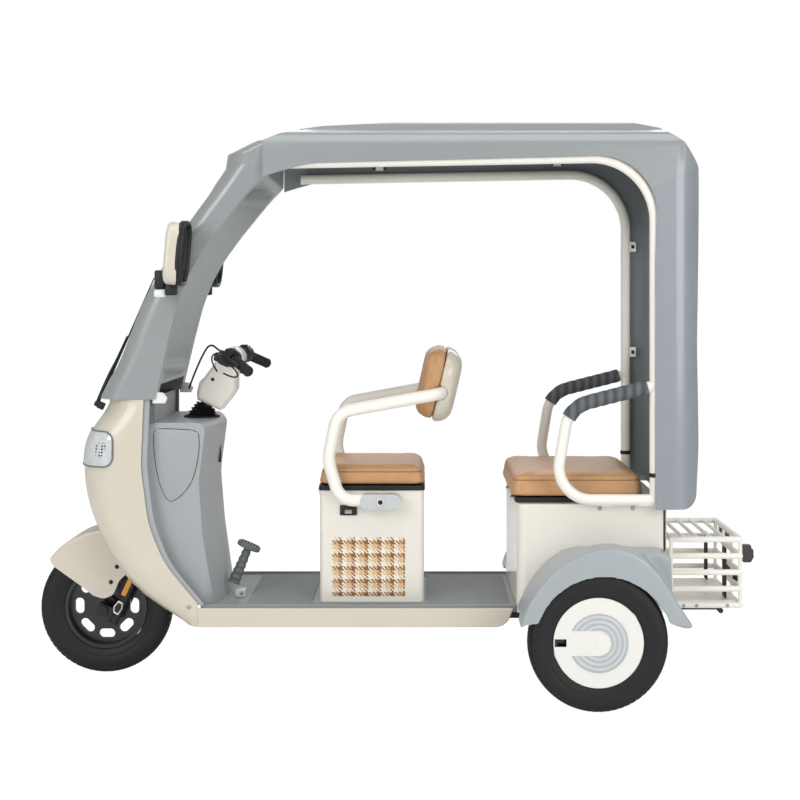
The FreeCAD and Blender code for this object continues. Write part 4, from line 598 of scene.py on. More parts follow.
def press_seam(piece, axis, place, deep, wide):
    """Presses a seam into the sides of a cushion, all round, at one level."""
    for v in piece.data.vertices:
        near = math.exp(-((v.co[axis] - place) / wide) ** 2)
        if near > 0.01:
            v.co -= v.normal * deep * near


def upholster(piece, node):
    """Leather on a padded piece, which stands in for its part."""
    piece.data.materials.append(tan_leather)
    for face in piece.data.polygons:
        face.use_smooth = True
    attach(piece, body_of_node[node])
    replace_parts(piece, node)
    print(piece.name, "has", len(piece.data.polygons), "faces")


def ordered_loops(mesh):
    """Points of each chain of edges in a mesh, in order."""
    links = {}
    for edge in mesh.edges:
        a, b = edge.vertices
        links.setdefault(a, []).append(b)
        links.setdefault(b, []).append(a)
    loops = []
    unseen = set(links)
    while unseen:
        chain = [unseen.pop()]
        ahead = [n for n in links[chain[-1]] if n in unseen]
        while ahead:
            unseen.discard(ahead[0])
            chain.append(ahead[0])
            ahead = [n for n in links[chain[-1]] if n in unseen]
        loops.append([mesh.vertices[i].co.copy() for i in chain])
    return loops


def tube(name, points, radius, finish, body, closed=False, sides=12, radii=None, order=3):
    """Round bar along a smooth line through a few points. Radii vary its thickness."""
    data = bpy.data.curves.new(name, "CURVE")
    data.dimensions = "3D"
    data.bevel_depth = radius
    data.bevel_resolution = max(1, sides // 4)
    data.use_fill_caps = not closed
    line = data.splines.new("NURBS" if order > 2 else "POLY")
    line.points.add(len(points) - 1)
    for i, point in enumerate(points):
        line.points[i].co = (*point, 1.0)
        line.points[i].radius = radii[i] if radii else 1.0
    if order > 2:
        line.order_u = order
        line.use_endpoint_u = not closed
        line.resolution_u = 3
    line.use_cyclic_u = closed
    holder = in_scene(name + "_line", data)
    graph = bpy.context.evaluated_depsgraph_get()
    made = bpy.data.meshes.new_from_object(holder.evaluated_get(graph))
    bpy.data.objects.remove(holder)
    bm = bmesh.new()
    bm.from_mesh(made)
    bmesh.ops.remove_doubles(bm, verts=bm.verts, dist=merge_near)
    return make_piece(name, bm, finish, body, 50.0)


def piping(name, piece, level, body):
    """Cord sewn into the seam: where a level plane cuts the cushion, made into a thin tube."""
    bm = bmesh.new()
    bm.from_mesh(piece.data)
    cut(bm, (0, 0, level), (0, 0, 1), clear_inner=True, clear_outer=True)
    bmesh.ops.delete(bm, geom=bm.faces[:], context="FACES_ONLY")
    mesh = mesh_of(name, bm)
    longest = max(ordered_loops(mesh), key=len)
    bpy.data.meshes.remove(mesh)
    tube(name, longest[::2], piping_r, seam_thread, body, closed=True, sides=8)


for name, voxel, seam_down in (("front", 0.0065, 0.020), ("rear", 0.0075, 0.022)):
    node = name + "_seat_cushion"
    seam_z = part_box(node)[1][2] - seam_down
    piece = swollen(node, name + "_cushion", voxel, cap=0.006, shrink=0.003, held_axis=2, held_side=-1)
    press_seam(piece, 2, seam_z, deep=0.0022, wide=0.006)
    upholster(piece, node)
    piping(name + "_cushion_piping", piece, seam_z, body_of_node[node])

# %% [markdown]
# ## The driver's back rest
# A round-cornered tan pad faces forward, and a domed cream shell closes its back. The pad is blown
# up like the seats, held where it meets the shell. The shell is a hard moulding, so its part is
# remeshed and smoothed instead, which gives it one even dome.

# %% Back pad and shell
back_middle = (box_of("backrest_pad")[0] + box_of("backrest_shell")[1]) / 2
lean = math.radians(13.0)


def turn_back(piece, turn):
    """Turns a mesh about the pad's middle, so that a leaning pad can be worked on upright."""
    spin = Matrix.Translation(back_middle) @ Matrix.Rotation(turn, 4, "Y") @ Matrix.Translation(-back_middle)
    piece.data.transform(spin)


def one_skin(name, bm, finish, node, voxel, times):
    """Hard moulding remade as one smooth skin."""
    bmesh.ops.triangulate(bm, faces=bm.faces)
    piece = make_piece(name, bm, finish, body_of_node[node], 60.0)
    even_faces(piece, voxel)
    smooth_piece(piece, times)
    piece.data.materials.clear()
    piece.data.materials.append(finish)
    print(name, "has", len(piece.data.polygons), "faces")
    return piece


back_pad = swollen("backrest_pad", "back_pad", 0.006, cap=0.005, shrink=0.002, held_axis=0, held_side=1)
turn_back(back_pad, -lean)
rear_face = max(v.co.x for v in back_pad.data.vertices)
press_seam(back_pad, 0, rear_face - 0.040, deep=0.0018, wide=0.005)
turn_back(back_pad, lean)
upholster(back_pad, "backrest_pad")
back_shell = one_skin("back_shell", part_copy("backrest_shell", 1.0), cream_abs, "backrest_shell", voxel=0.005,
                      times=8)
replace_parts(back_shell, "backrest_shell")

# %% [markdown]
# ## Rear fenders
# Each fender is a soft blue-grey moulding: a wall over the tyre's outer side and a broad top that
# runs on behind a slanting crease. Flat slabs with the outline of each are joined by remeshing,
# and the skin is smoothed until its edges are as round as the real one's.

# %% Fenders
wall_line = [(0.3785, 0.2485), (0.391, 0.285), (0.411, 0.328), (0.440, 0.371), (0.474, 0.408), (0.518, 0.441),
             (0.564, 0.464), (0.610, 0.477), (0.656, 0.480), (0.702, 0.471), (0.748, 0.444), (0.788, 0.400),
             (0.822, 0.345), (0.851, 0.299), (0.880, 0.256), (0.876, 0.248), (0.852, 0.249)]
top_z = 0.452
top_line = [(x, min(z, top_z)) for x, z in wall_line[:9]]
top_line += [(0.812, 0.450), (0.834, 0.436), (0.838, 0.330), (0.846, 0.290)]
wheel_low, wheel_high = box_of("rear_tyre_left")
wheel_at = (wheel_low + wheel_high) / 2
well_r = (wheel_high.z - wheel_low.z) / 2 + 0.014
wall_inner, wall_outer = -wheel_low.y + 0.006, 0.503


def thicken(bm, faces, way):
    """Pulls a copy of some faces out along a way, and closes the sides between."""
    made = bmesh.ops.extrude_face_region(bm, geom=faces)
    bmesh.ops.translate(bm, verts=[v for v in made["geom"] if isinstance(v, bmesh.types.BMVert)], vec=way)


def arch(middle_x, middle_z, radius, low_z, steps=20):
    """Points of a wheel arch from its rear end to its front end, both at one height."""
    end = math.asin((low_z - middle_z) / radius)
    turns = [end + (math.pi - 2 * end) * i / steps for i in range(steps + 1)]
    return [(middle_x + radius * math.cos(turn), middle_z + radius * math.sin(turn)) for turn in turns]


def fender(side, hand):
    """Outer wall, the wall's inner step and the broad top, in one skin."""
    slabs = [(wall_line + arch(0.6225, 0.1985, 0.196, 0.262), wall_inner, wall_outer),
             (wall_line + arch(wheel_at.x, wheel_at.z, well_r, 0.262), 0.395, wall_inner + 0.003),
             (top_line + arch(wheel_at.x, wheel_at.z, well_r, 0.290), 0.287, 0.400)]
    bm = bmesh.new()
    for corners, inner, outer in slabs:
        flat = bm.faces.new([bm.verts.new((x, side * inner, z)) for x, z in corners])
        thicken(bm, [flat], (0, side * (outer - inner), 0))
    bmesh.ops.recalc_face_normals(bm, faces=bm.faces)
    return one_skin("rear_fender_" + hand, bm, fender_abs, "rear_fenders", voxel=0.0045, times=9)


fenders = [fender(side, hand) for side, hand in hands]
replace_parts(fenders[0], "rear_fenders")

# %% [markdown]
# ## Foam grips on the arm rests
# Each arm rest wears a sleeve of dark foam with narrow grooves, as bicycle grips have.
# The sleeve follows the tube, so it is a tube of its own whose radius dips at every groove.

# %% Foam sleeves
side_tube_y, sleeve_r, tube_bend_r = 0.318, 0.0222, 0.095


def foam_sleeve(side, hand):
    """Sleeve along the arm rest and a little way round its front bend."""
    y = side * side_tube_y
    top, front, foot = Vector((0.797, y, 0.938)), Vector((0.538, y, 0.872)), Vector((0.492, y, 0.595))
    back = (top - front).normalized()
    down = (foot - front).normalized()
    lift = Vector((0, 0, 0.0015))
    start = top - back * 0.024 + lift
    turn = math.pi - back.angle(down)
    run = tube_bend_r * math.tan(turn / 2)
    line = [start + (front + back * run + lift - start) * (i / 24) for i in range(25)]
    centre = front + (back + down).normalized() * (tube_bend_r / math.cos(turn / 2))
    first = front + back * run - centre
    axis = first.cross(front + down * run - centre).normalized()
    for i in range(1, 8):
        line.append(centre + Matrix.Rotation(turn * i / 10, 3, axis) @ first + lift * (1 - i / 10))
    radii = [1.0 if i % 4 else 0.94 for i in range(len(line))]
    return tube("foam_sleeve_" + hand, line, sleeve_r, foam, "root", sides=24, radii=radii, order=2)


sleeves = [foam_sleeve(side, hand) for side, hand in hands]
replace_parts(sleeves[0], "arm_grips")
print("sleeves:", [p.name for p in sleeves])

# %% [markdown]
# ## Bellows at the foot of the column
# Black rubber folds close the gap where the steering column leaves the dash. Each fold is a ring,
# and the rings lean over from the level dash to the raked column.
# A turned profile would leave the dash at a slant, so rings are bridged one after another.

# %% Rings bridged into bellows
def lofted(name, rings, finish, body, sides=36, smooth_deg=40.0):
    """Circles (place, direction, radius) bridged one after another into a closed skin."""
    bm = bmesh.new()
    ring_edges = []
    for middle, facing, radius in rings:
        spin = Vector(facing).to_track_quat("Z", "Y").to_matrix().to_4x4()
        ring = bmesh.ops.create_circle(bm, segments=sides, radius=radius, matrix=Matrix.Translation(middle) @ spin)
        ring_edges.append(list({e for v in ring["verts"] for e in v.link_edges}))
    for a, b in zip(ring_edges, ring_edges[1:]):
        bmesh.ops.bridge_loops(bm, edges=a + b)
    for end in (ring_edges[0], ring_edges[-1]):
        bmesh.ops.contextual_create(bm, geom=end)
    return make_piece(name, bm, finish, body, smooth_deg)


steer_axis = Vector((0.41945, 0.0, 0.90778))
steer_foot = Vector((-0.89417, 0.0, 0.211))
upright = Vector((0, 0, 1))
dash_top, bellows_up, folds = 0.8185, 0.708, 4
foot = steer_foot + steer_axis * ((dash_top - steer_foot.z) / steer_axis.z)
neck = steer_foot + steer_axis * bellows_up
flange = ((0, 0.058), (0.004, 0.058), (0.005, 0.050))
rings = [(foot + Vector((0.004, 0, up)), upright, radius) for up, radius in flange]
for i in range(2 * folds + 1):
    share = (i + 1) / (2 * folds + 1)
    facing = upright.lerp(steer_axis, share).normalized()
    rings.append((foot.lerp(neck, share), facing, (0.052 - 0.018 * share) * (0.80 if i % 2 else 1.0)))
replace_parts(lofted("bellows", rings, rubber, "root", smooth_deg=25.0), "steering_boot")
print("bellows rings:", len(rings))

# %% [markdown]
# ## Lamps and mirrors
# A lamp is a clear lens over bright plastic, with a round patch of dark dots where its bulb sits,
# in a thin dark rim. The rim is the part's own edge, swept by a thin tube. A mirror is a silvered
# pane in a deep black rim, and a black plate fills its back. Its outline is a circle pulled
# towards a rectangle by a power of its sine and cosine, which needs only one number.

# %% Lamps and mirrors
dot_pitch_mm, dot_share, patch_r = 9.5, 0.36, 0.024
lens_finish, tree, shader, place = new_finish("clear_lamp_lens", "eceff0", 0.08, Metallic=0.35, **coat(1.0, 0.03))
cells = add(tree, "ShaderNodeTexVoronoi", {"Vector": place, "Scale": millimetres(dot_pitch_mm), "Randomness": 0.0})
ribs = add(tree, "ShaderNodeTexNoise", {"Vector": place, "Scale": millimetres(26.0), "Detail": 2.0})
bump = add(tree, "ShaderNodeBump", {"Height": ribs.outputs["Fac"], "Strength": 0.4, "Distance": 0.003})
tree.links.new(bump.outputs["Normal"], shader.inputs["Normal"])
lamp_low, lamp_high = box_of("head_lamps")
near_patch = add(tree, "ShaderNodeMapping", {"Vector": place, "Scale": flat_y,
                                             "Location": (-lamp_low.x - 0.083, 0.0, -lamp_low.z - 0.050)})
away = add(tree, "ShaderNodeVectorMath", {0: near_patch.outputs[0]}, operation="LENGTH")
inside = add(tree, "ShaderNodeMath", {0: away.outputs["Value"], 1: patch_r}, operation="LESS_THAN")
dots = add(tree, "ShaderNodeMath", {0: cells.outputs["Distance"], 1: dot_share}, operation="LESS_THAN")
dark = add(tree, "ShaderNodeMath", {0: inside.outputs[0], 1: dots.outputs[0]}, operation="MULTIPLY")
glint = add(tree, "ShaderNodeMix", {0: ribs.outputs["Fac"], 6: linear("d3d8da"), 7: linear("fbfcfc")},
            data_type="RGBA")
tint = add(tree, "ShaderNodeMix", {0: dark.outputs[0], 6: glint.outputs[2], 7: linear("4a4e50")}, data_type="RGBA")
tree.links.new(tint.outputs[2], shader.inputs["Base Color"])
dress("head_lamps", lens_finish, 1.5)


def sharp_loop(node, axis, side, flat_deg, one_half=False):
    """The sharp loop of a part that lies farthest to one side, as points in order."""
    bm = part_copy(node, 0.1)
    if one_half:
        bmesh.ops.delete(bm, geom=[v for v in bm.verts if v.co[axis] * side < 0], context="VERTS")
    soft = [e for e in bm.edges if e.calc_face_angle(0.0) < math.radians(flat_deg)]
    bmesh.ops.delete(bm, geom=soft, context="EDGES_FACES")
    mesh = mesh_of(node + "_rim", bm)
    loops = [loop for loop in ordered_loops(mesh) if one_half or len(loop) > 12]
    bpy.data.meshes.remove(mesh)
    return max(loops, key=lambda loop: side * sum(p[axis] for p in loop) / len(loop))


def squarish(value, power):
    """Sine or cosine pulled towards one, with its sign kept."""
    return math.copysign(abs(value) ** power, value)


for side, hand in hands:
    outline = sharp_loop("head_lamps", 1, side, 50, one_half=True)
    tube("lamp_rim_" + hand, outline, 0.0024, shadow_abs, "root", closed=True, sides=8, order=2)

mirror_rim = moulded("black_mirror_rim", "141516", 0.4, grain_mm=1.2, grain=0.2)
mirror_x, mirror_y, mirror_low, mirror_high = -0.6155, 0.371, 1.240, 1.426
rim_half_wide, rim_half_high, mirror_lean = 0.067, 0.091, math.sin(math.radians(5.0))
for side, hand in hands:
    y = side * mirror_y
    line = []
    for i in range(40):
        turn = math.tau * i / 40
        dy = rim_half_wide * squarish(math.cos(turn), 0.62)
        dz = rim_half_high * squarish(math.sin(turn), 0.62)
        line.append((mirror_x + mirror_lean * dz, dy, (mirror_low + mirror_high) / 2 + dz))
    for name, back in (("mirror_rim_", 0.0), ("mirror_hood_", 0.0095)):
        hoop = [(x + back, y + dy * 0.985, z) for x, dy, z in line]
        tube(name + hand, hoop, 0.0068, mirror_rim, "root", closed=True, sides=12)
    bm = bmesh.new()
    bm.faces.new([bm.verts.new((x - 0.0175, y + dy * 1.02, z)) for x, dy, z in line])
    thicken(bm, bm.faces[:], (0.0155, 0, 0))
    make_piece("mirror_back_" + hand, bm, mirror_rim, "root", 40.0)
dress("mirror_panes", mirror_glass, 0.0)
print("points round a mirror:", len(line))

# %% [markdown]
# ## Windscreen, rear window and their seals
# Both panes are the built sheets in clear plastic. A black rubber seal runs round each one: the
# sheet's sharp rim gives its path, so the seal bends with the pane.
# A seal drawn by hand would have to repeat the curve of the screen.

# %% Panes and seals
for node, outside, seal_r in (("windscreen", -1, 0.003), ("rear_window", 1, 0.004)):
    dress(node, screen_glass, 0.0)
    line = sharp_loop(node, 0, outside, 40)
    tube(node + "_seal", line, seal_r, rubber, "root", closed=True, sides=8, order=2)
    print("points round the", node, len(line))

# %% [markdown]
# ## Small parts that are used again
# Bolts, blocks and flat shapes repeat all over the vehicle, so each gets a function: where it sits,
# which way it faces and how big it is. A bolt's head is a short dome with a pressed hexagon.
# One bolt could be copied by hand, but then a change to it would need doing forty times.

# %% Bolts, blocks and flat shapes
steer_joint = next(j for j in behaviour["joints"] if j["name"] == "steering")
steer_sin, steer_cos = steer_joint["axis"][0], steer_joint["axis"][2]
rake_deg = 24.8
bolt_profile = [(0.0, 1.25), (0.18, 1.25), (0.20, 1.0), (0.48, 0.97), (0.72, 0.80), (0.84, 0.52), (0.82, 0.44),
                (0.45, 0.40)]


def steered(back, y, up):
    """Place from its distances behind, beside and up the steering axis."""
    foot = Vector(steer_joint["pos_m"])
    return foot + Vector((back * steer_cos + up * steer_sin, y, up * steer_cos - back * steer_sin))


def bolt(name, at, facing, radius, finish=steel, body="root"):
    """Domed head with a hexagon socket, on a washer."""
    out = Vector(facing).normalized()
    rings = [(Vector(at) + out * radius * up, out, radius * wide) for up, wide in bolt_profile]
    return lofted(name, rings, finish, body, sides=18, smooth_deg=32.0)


def rounded(bm, edges, round_by, segments):
    """Rounds some edges of a bmesh."""
    bmesh.ops.bevel(bm, geom=edges, offset=round_by, segments=segments, profile=0.5, affect="EDGES", material=-1)


def block(name, one, other, finish, round_mm, body="root", turn_deg=0.0):
    """Box between two opposite corners, its edges rounded, turned about its middle if asked."""
    low = Vector([min(pair) for pair in zip(one, other)])
    high = Vector([max(pair) for pair in zip(one, other)])
    bm = bmesh.new()
    bmesh.ops.create_cube(bm, size=1.0)
    place = Matrix.Translation((low + high) / 2) @ Matrix.Rotation(math.radians(turn_deg), 4, "Y")
    bmesh.ops.transform(bm, matrix=place @ Matrix.Diagonal((*(high - low), 1.0)), verts=bm.verts)
    rounded(bm, bm.edges[:], round_mm / 1000, 3)
    return make_piece(name, bm, finish, body, 40.0)


def thick_outline(corners, y_one, y_other):
    """Flat shape with corners (x, z), made thick from one side to the other."""
    y_low, y_high = sorted((y_one, y_other))
    bm = bmesh.new()
    near = bm.faces.new([bm.verts.new((x, y_low, z)) for x, z in corners])
    thicken(bm, [near], (0, y_high - y_low, 0))
    return bm


def prism(name, corners, y_one, y_other, finish, round_mm, body="root"):
    """Flat shape made thick, with all its edges rounded."""
    bm = thick_outline(corners, y_one, y_other)
    if round_mm:
        rounded(bm, bm.edges[:], round_mm / 1000, 2)
    return make_piece(name, bm, finish, body, 40.0)


print("steering axis leans", round(math.degrees(math.asin(steer_sin)), 1), "degrees")

# %% [markdown]
# ## Handlebar
# Each end has a ribbed rubber grip, a switch block with its buttons, and a clamp for the lever.
# The ribs are rings of two radii bridged in turn, 4 mm apart. The column cover and the cap over
# the instruments are outlines made thick with rounded rims, and the bar's middle is lowered where
# it would stand out of the cap.

# %% Grips and switches
bar_bend, bar_tip = Vector((0.032, 0.172, 0.898)), Vector((0.100, 0.268, 0.891))
grip_r, rib_pitch = 0.017, 0.004
switch_profile = [(0, 0.013), (0, 0.0230), (0.004, 0.0270), (0.034, 0.0275), (0.040, 0.0235), (0.040, 0.013)]
cable_loops = [[(-0.010, 0.020, -0.020), (0.020, 0.006, -0.050), (-0.004, -0.020, -0.066),
                (-0.040, -0.050, -0.050)],
               [(-0.030, 0.010, 0.016), (-0.062, 0.000, 0.020), (-0.078, -0.020, -0.010),
                (-0.062, -0.060, -0.044)]]
switch_red = moulded("red_button", "b3261e", 0.4)
switch_grey = moulded("grey_button", "9aa0a2", 0.4)


def bar_sleeve(name, start, way, profile, finish, sides, smooth_deg):
    """Turned shape along the bar, from its distances along and radii."""
    rings = [(start + way * at, way, radius) for at, radius in profile]
    return lofted(name, rings, finish, "steering", sides, smooth_deg)


def hand_grip(side, hand):
    """Ribbed grip, and the switch housing with its perch and buttons."""
    bend = steered(bar_bend.x, side * bar_bend.y, bar_bend.z)
    end = steered(bar_tip.x, side * bar_tip.y, bar_tip.z)
    way = (end - bend).normalized()
    start = bend + way * 0.018
    length = (end - start).length * 0.94 + 0.0105
    profile = [(0, 0.0115), (0, grip_r), (0.004, grip_r)]
    for i in range(int((length - 0.012) / rib_pitch)):
        at = 0.006 + rib_pitch * i
        profile += [(at, grip_r * 0.90), (at + 0.0012, grip_r * 0.96), (at + 0.0028, grip_r * 0.96)]
    profile += [(length - 0.004, grip_r * 0.99), (length - 0.001, grip_r * 0.90), (length, grip_r * 0.5)]
    grip = bar_sleeve("grip_" + hand, start, way, profile, rubber, 28, 30.0)
    inner = start - way * 0.045
    bar_sleeve("switch_" + hand, inner, way, switch_profile, black_abs, 24, 35.0)
    perch, half = inner + way * 0.008 - Vector((0.020, 0, 0)), Vector((0.016, 0.013, 0.012))
    block("perch_" + hand, perch - half, perch + half, black_abs, 4.0, "steering", turn_deg=rake_deg)
    up = Vector((steer_sin, 0, steer_cos))
    for i, colour in enumerate((switch_red, switch_grey)):
        spot = inner + way * (0.011 + 0.014 * i) + up * 0.0268
        bolt("button_%s_%d" % (hand, i), spot, up, 0.0038, colour, "steering")
    return grip


for side, hand in hands:
    inner = steered(bar_bend.x, side * bar_bend.y, bar_bend.z) - Vector((0, side * 0.030, 0))
    block("bar_clamp_" + hand, inner + Vector((-0.044, -0.026, -0.024)), inner + Vector((-0.004, 0.026, 0.020)),
          black_abs, 8.0, "steering", turn_deg=rake_deg)
    block("lever_pivot_" + hand, inner + Vector((-0.062, -0.016, -0.010)), inner + Vector((-0.034, 0.016, 0.012)),
          black_abs, 5.0, "steering", turn_deg=10.0)
    for i, loop in enumerate(cable_loops):
        line = [inner + Vector((x, side * y, z)) for x, y, z in loop]
        tube("bar_loop_%s_%d" % (hand, i), line, 0.0026, rubber, "steering", sides=8)
grips = [hand_grip(side, hand) for side, hand in hands]
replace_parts(grips[0], "grips")


def round_rims(bm, round_by, segments):
    """Rounds the two rims of a thick outline, and leaves the edges across it."""
    rounded(bm, [e for e in bm.edges if abs(e.verts[0].co.y - e.verts[1].co.y) < 0.001], round_by, segments)


cover_half, cap_half, cap_ceiling = 0.058, 0.062, 1.034
cover_corners = [(-0.029, 0.7195), (0.053, 0.7195), (0.0656, 0.7676), (0.0696, 0.800), (0.052, 0.8386),
                 (0.050, 0.868), (-0.026, 0.868), (-0.030, 0.837), (-0.0388, 0.794), (-0.0465, 0.7736),
                 (-0.040, 0.740)]
bm = thick_outline(cover_corners, -cover_half, cover_half)
round_rims(bm, 0.016, 5)
lean_back = Matrix.Translation(steered(0, 0, 0)) @ Matrix.Rotation(math.asin(steer_sin), 4, "Y")
bmesh.ops.transform(bm, matrix=lean_back, verts=bm.verts)
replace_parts(make_piece("column_cover_moulded", bm, box_abs, "steering", 40.0), "column_cover")
cap_dome = [(-0.541, 0.998), (-0.539, 1.016), (-0.530, 1.033), (-0.513, 1.043), (-0.496, 1.042), (-0.481, 1.032),
            (-0.472, 1.016), (-0.472, 0.998)]
bm = thick_outline(cap_dome, -cap_half, cap_half)
round_rims(bm, 0.007, 4)
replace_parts(make_piece("instrument_cap_moulded", bm, box_abs, "steering", 50.0), "instrument_cap")
for v in bpy.data.objects["handlebar_dressed"].data.vertices:
    if abs(v.co.y) < 0.075 and v.co.z > cap_ceiling:
        v.co.z = cap_ceiling
bolt("cover_screw", steered(-0.010, -cover_half, 0.800), (0, -1, 0), 0.0045, black_steel, "steering")
print("grip length:", round(grips[0].dimensions.length, 3))

# %% [markdown]
# ## Wiper and brake pedal
# The wiper's arm is stout near its pivot and thin along the blade. The pedal is an oval pad on
# a ribbed rubber boot that comes out of the shield, and a steel bracket holds its foot.

# %% Wiper and pedal
wiper_foot = Vector((-0.925, -0.070, 0.862))
wiper_way = (Vector((-0.757, -0.070, 1.246)) - wiper_foot).normalized()
wiper_out = Vector((-wiper_way.z, 0, wiper_way.x))
arm_line = [(0.000, 0.008, 1.0), (0.030, 0.009, 1.0), (0.110, 0.009, 0.85), (0.150, 0.007, 0.45),
            (0.235, 0.006, 0.40)]
blade_line = [(0.062, 0.002, 0.7), (0.25, 0.002, 1.0), (0.438, 0.002, 0.6)]
pivot_rings = [(-0.016, 0.012), (0.004, 0.012), (0.006, 0.009), (0.014, 0.009), (0.016, 0.006)]


def wiper_bar(name, line, radius, finish, sides):
    """Bar of the wiper, from distances along and off the screen and shares of its radius."""
    points = [wiper_foot + wiper_way * along + wiper_out * off for along, off, share in line]
    return tube(name, points, radius, finish, "root", sides=sides, radii=[share for _, _, share in line])


wiper_arm = wiper_bar("wiper_arm", arm_line, 0.0065, black_abs, 12)
wiper_bar("wiper_blade", blade_line, 0.0032, rubber, 8)
lofted("wiper_pivot", [(wiper_foot + wiper_out * up, wiper_out, r) for up, r in pivot_rings], black_abs, "root",
       sides=20)
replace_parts(wiper_arm, "wiper")

pedal_rubber = moulded("grey_pedal_rubber", "64686a", 0.6, drift=0.12, grain_mm=1.2, grain=0.25)
pedal_middle, pedal_foot = Vector((-0.447, -0.100, 0.420)), Vector((-0.495, -0.100, 0.305))
pedal_way = (pedal_middle - pedal_foot).normalized()
boot_length = (pedal_middle - pedal_foot).length - 0.006
pedal_deg, pad_thick, pad_half = 23.0, 0.0155, (0.0375, 0.0295)
rings = []
for i in range(13):
    radius = (0.0200 - 0.0065 * i / 12) * (0.84 if i % 2 else 1.0)
    rings.append((pedal_foot + pedal_way * boot_length * (i / 12), pedal_way, radius))
lofted("pedal_boot", rings, pedal_rubber, "root", sides=24, smooth_deg=25.0)
bm = bmesh.new()
bmesh.ops.create_circle(bm, cap_ends=True, segments=32, radius=1.0)
for v in bm.verts:
    v.co.x, v.co.y = (half * squarish(c, 0.85) for half, c in zip(pad_half, v.co))
thicken(bm, bm.faces[:], (0, 0, pad_thick))
rounded(bm, [e for e in bm.edges if abs(e.verts[0].co.z - e.verts[1].co.z) < 0.0001], 0.004, 3)
tilt = Matrix.Rotation(math.radians(pedal_deg), 4, "Y")
bmesh.ops.transform(bm, matrix=Matrix.Translation(pedal_middle) @ tilt @ Matrix.Translation((0, 0, -pad_thick / 2)),
                    verts=bm.verts)
pedal_pad = make_piece("pedal_pad", bm, pedal_rubber, "root", 40.0)
rib_low, rib_high = Vector((-0.0022, -0.019, -0.0012)), Vector((0.0022, 0.019, 0.0014))
for i in range(6):
    spot = pedal_middle + tilt.to_3x3() @ Vector((-0.025 + 0.010 * i, 0, 0.0078))
    block("pedal_rib_%d" % i, spot + rib_low, spot + rib_high, rubber, 0.6, turn_deg=pedal_deg)
block("pedal_bracket", (-0.488, -0.120, 0.2625), (-0.456, -0.080, 0.286), ring_abs, 2.0)
bolt("pedal_bolt", (-0.467, -0.120, 0.275), (0, -1, 0), 0.005)
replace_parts(pedal_pad, "brake_pedal")
print("pedal boot rings:", len(rings))

# %% [markdown]
# ## Check print on the seat box
# Both sides of the driver's box carry a woven check. In a real twill each thread goes over two and
# under two, which shows as slanting dashes where colours cross. So the print picks the colour of
# the upright band or of the level one by a slanting stripe. The film is its own thin sheet.

# %% Woven check
check_pitch, thread_pitch, box_half = 0.040, 0.0115, 0.190
weave, tree, shader, place = new_finish("woven_check_print", "b98a5a", 0.45)
axes = add(tree, "ShaderNodeSeparateXYZ", {"Vector": place})


def bands(source):
    """Three flat colours that repeat once in each pitch, along one direction."""
    step = add(tree, "ShaderNodeMath", {0: source, 1: 1.0}, operation="ADD")
    cells = add(tree, "ShaderNodeMath", {0: step.outputs[0], 1: 1 / check_pitch}, operation="MULTIPLY")
    part = add(tree, "ShaderNodeMath", {0: cells.outputs[0]}, operation="FRACT")
    node = add(tree, "ShaderNodeValToRGB", {"Fac": part.outputs[0]})
    ramp = node.color_ramp
    ramp.interpolation = "CONSTANT"
    ramp.elements[0].color = linear("93602f")
    ramp.elements[1].position = 0.30
    ramp.elements[1].color = linear("f6f1e4")
    ramp.elements.new(0.62).color = linear("e2c193")
    return node.outputs["Color"]


slant = add(tree, "ShaderNodeMath", {0: axes.outputs["X"], 1: axes.outputs["Z"]}, operation="ADD")
threads = add(tree, "ShaderNodeMath", {0: slant.outputs[0], 1: 1 / thread_pitch}, operation="MULTIPLY")
wave = add(tree, "ShaderNodeMath", {0: threads.outputs[0]}, operation="FRACT")
over = add(tree, "ShaderNodeMath", {0: wave.outputs[0], 1: 0.5}, operation="GREATER_THAN")
woven = add(tree, "ShaderNodeMix", {0: over.outputs[0], 6: bands(axes.outputs["X"]), 7: bands(axes.outputs["Z"])},
            data_type="RGBA")
tree.links.new(woven.outputs[2], shader.inputs["Base Color"])
for side, hand in hands:
    prism("check_print_" + hand, [(-0.180, 0.280), (0.0455, 0.280), (0.0455, 0.462), (-0.180, 0.462)],
          side * (box_half + 0.0002), side * (box_half + 0.0006), weave, 0.0)
print("check print:", check_pitch * 1000, "mm pitch")

# %% [markdown]
# ## Latch and mat
# A user touches these: the box's black latch with its small steel key plate, and the ribbed
# rubber mat. The mat is a frame of eight flat sheets round the box, made thick. Its ribs are
# 8 mm apart and shallow, so a bump draws them.

# %% Latch and mat
for side, hand in hands:
    y = side * box_half
    block("latch_" + hand, (-0.155, y, 0.530), (-0.103, y + side * 0.007, 0.561), black_abs, 2.0)
    block("latch_key_" + hand, (-0.140, y + side * 0.006, 0.536), (-0.118, y + side * 0.011, 0.548), steel, 1.5)

rib_spacing, mat_top, mat_half = 0.008, 0.2622, 0.252
mat_rubber, tree, shader, place = new_finish("ribbed_mat", "8d9394", 0.6)
across = add(tree, "ShaderNodeSeparateXYZ", {"Vector": place})
lines = add(tree, "ShaderNodeMath", {0: across.outputs["Y"], 1: math.tau / rib_spacing}, operation="MULTIPLY")
wave = add(tree, "ShaderNodeMath", {0: lines.outputs[0]}, operation="SINE")
bump = add(tree, "ShaderNodeBump", {"Height": wave.outputs[0], "Strength": 0.9, "Distance": 0.0015})
tree.links.new(bump.outputs["Normal"], shader.inputs["Normal"])
shade = add(tree, "ShaderNodeMapRange", {"Value": wave.outputs[0], "From Min": -1.0})
tint = add(tree, "ShaderNodeMix", {0: shade.outputs["Result"], 6: linear("7d8385"), 7: linear("9aa0a1")},
           data_type="RGBA")
tree.links.new(tint.outputs[2], shader.inputs["Base Color"])
box_low, box_high = box_of("front_seat_box")
mat_x = [-0.440, box_low.x - 0.012, box_high.x + 0.008, 0.368]
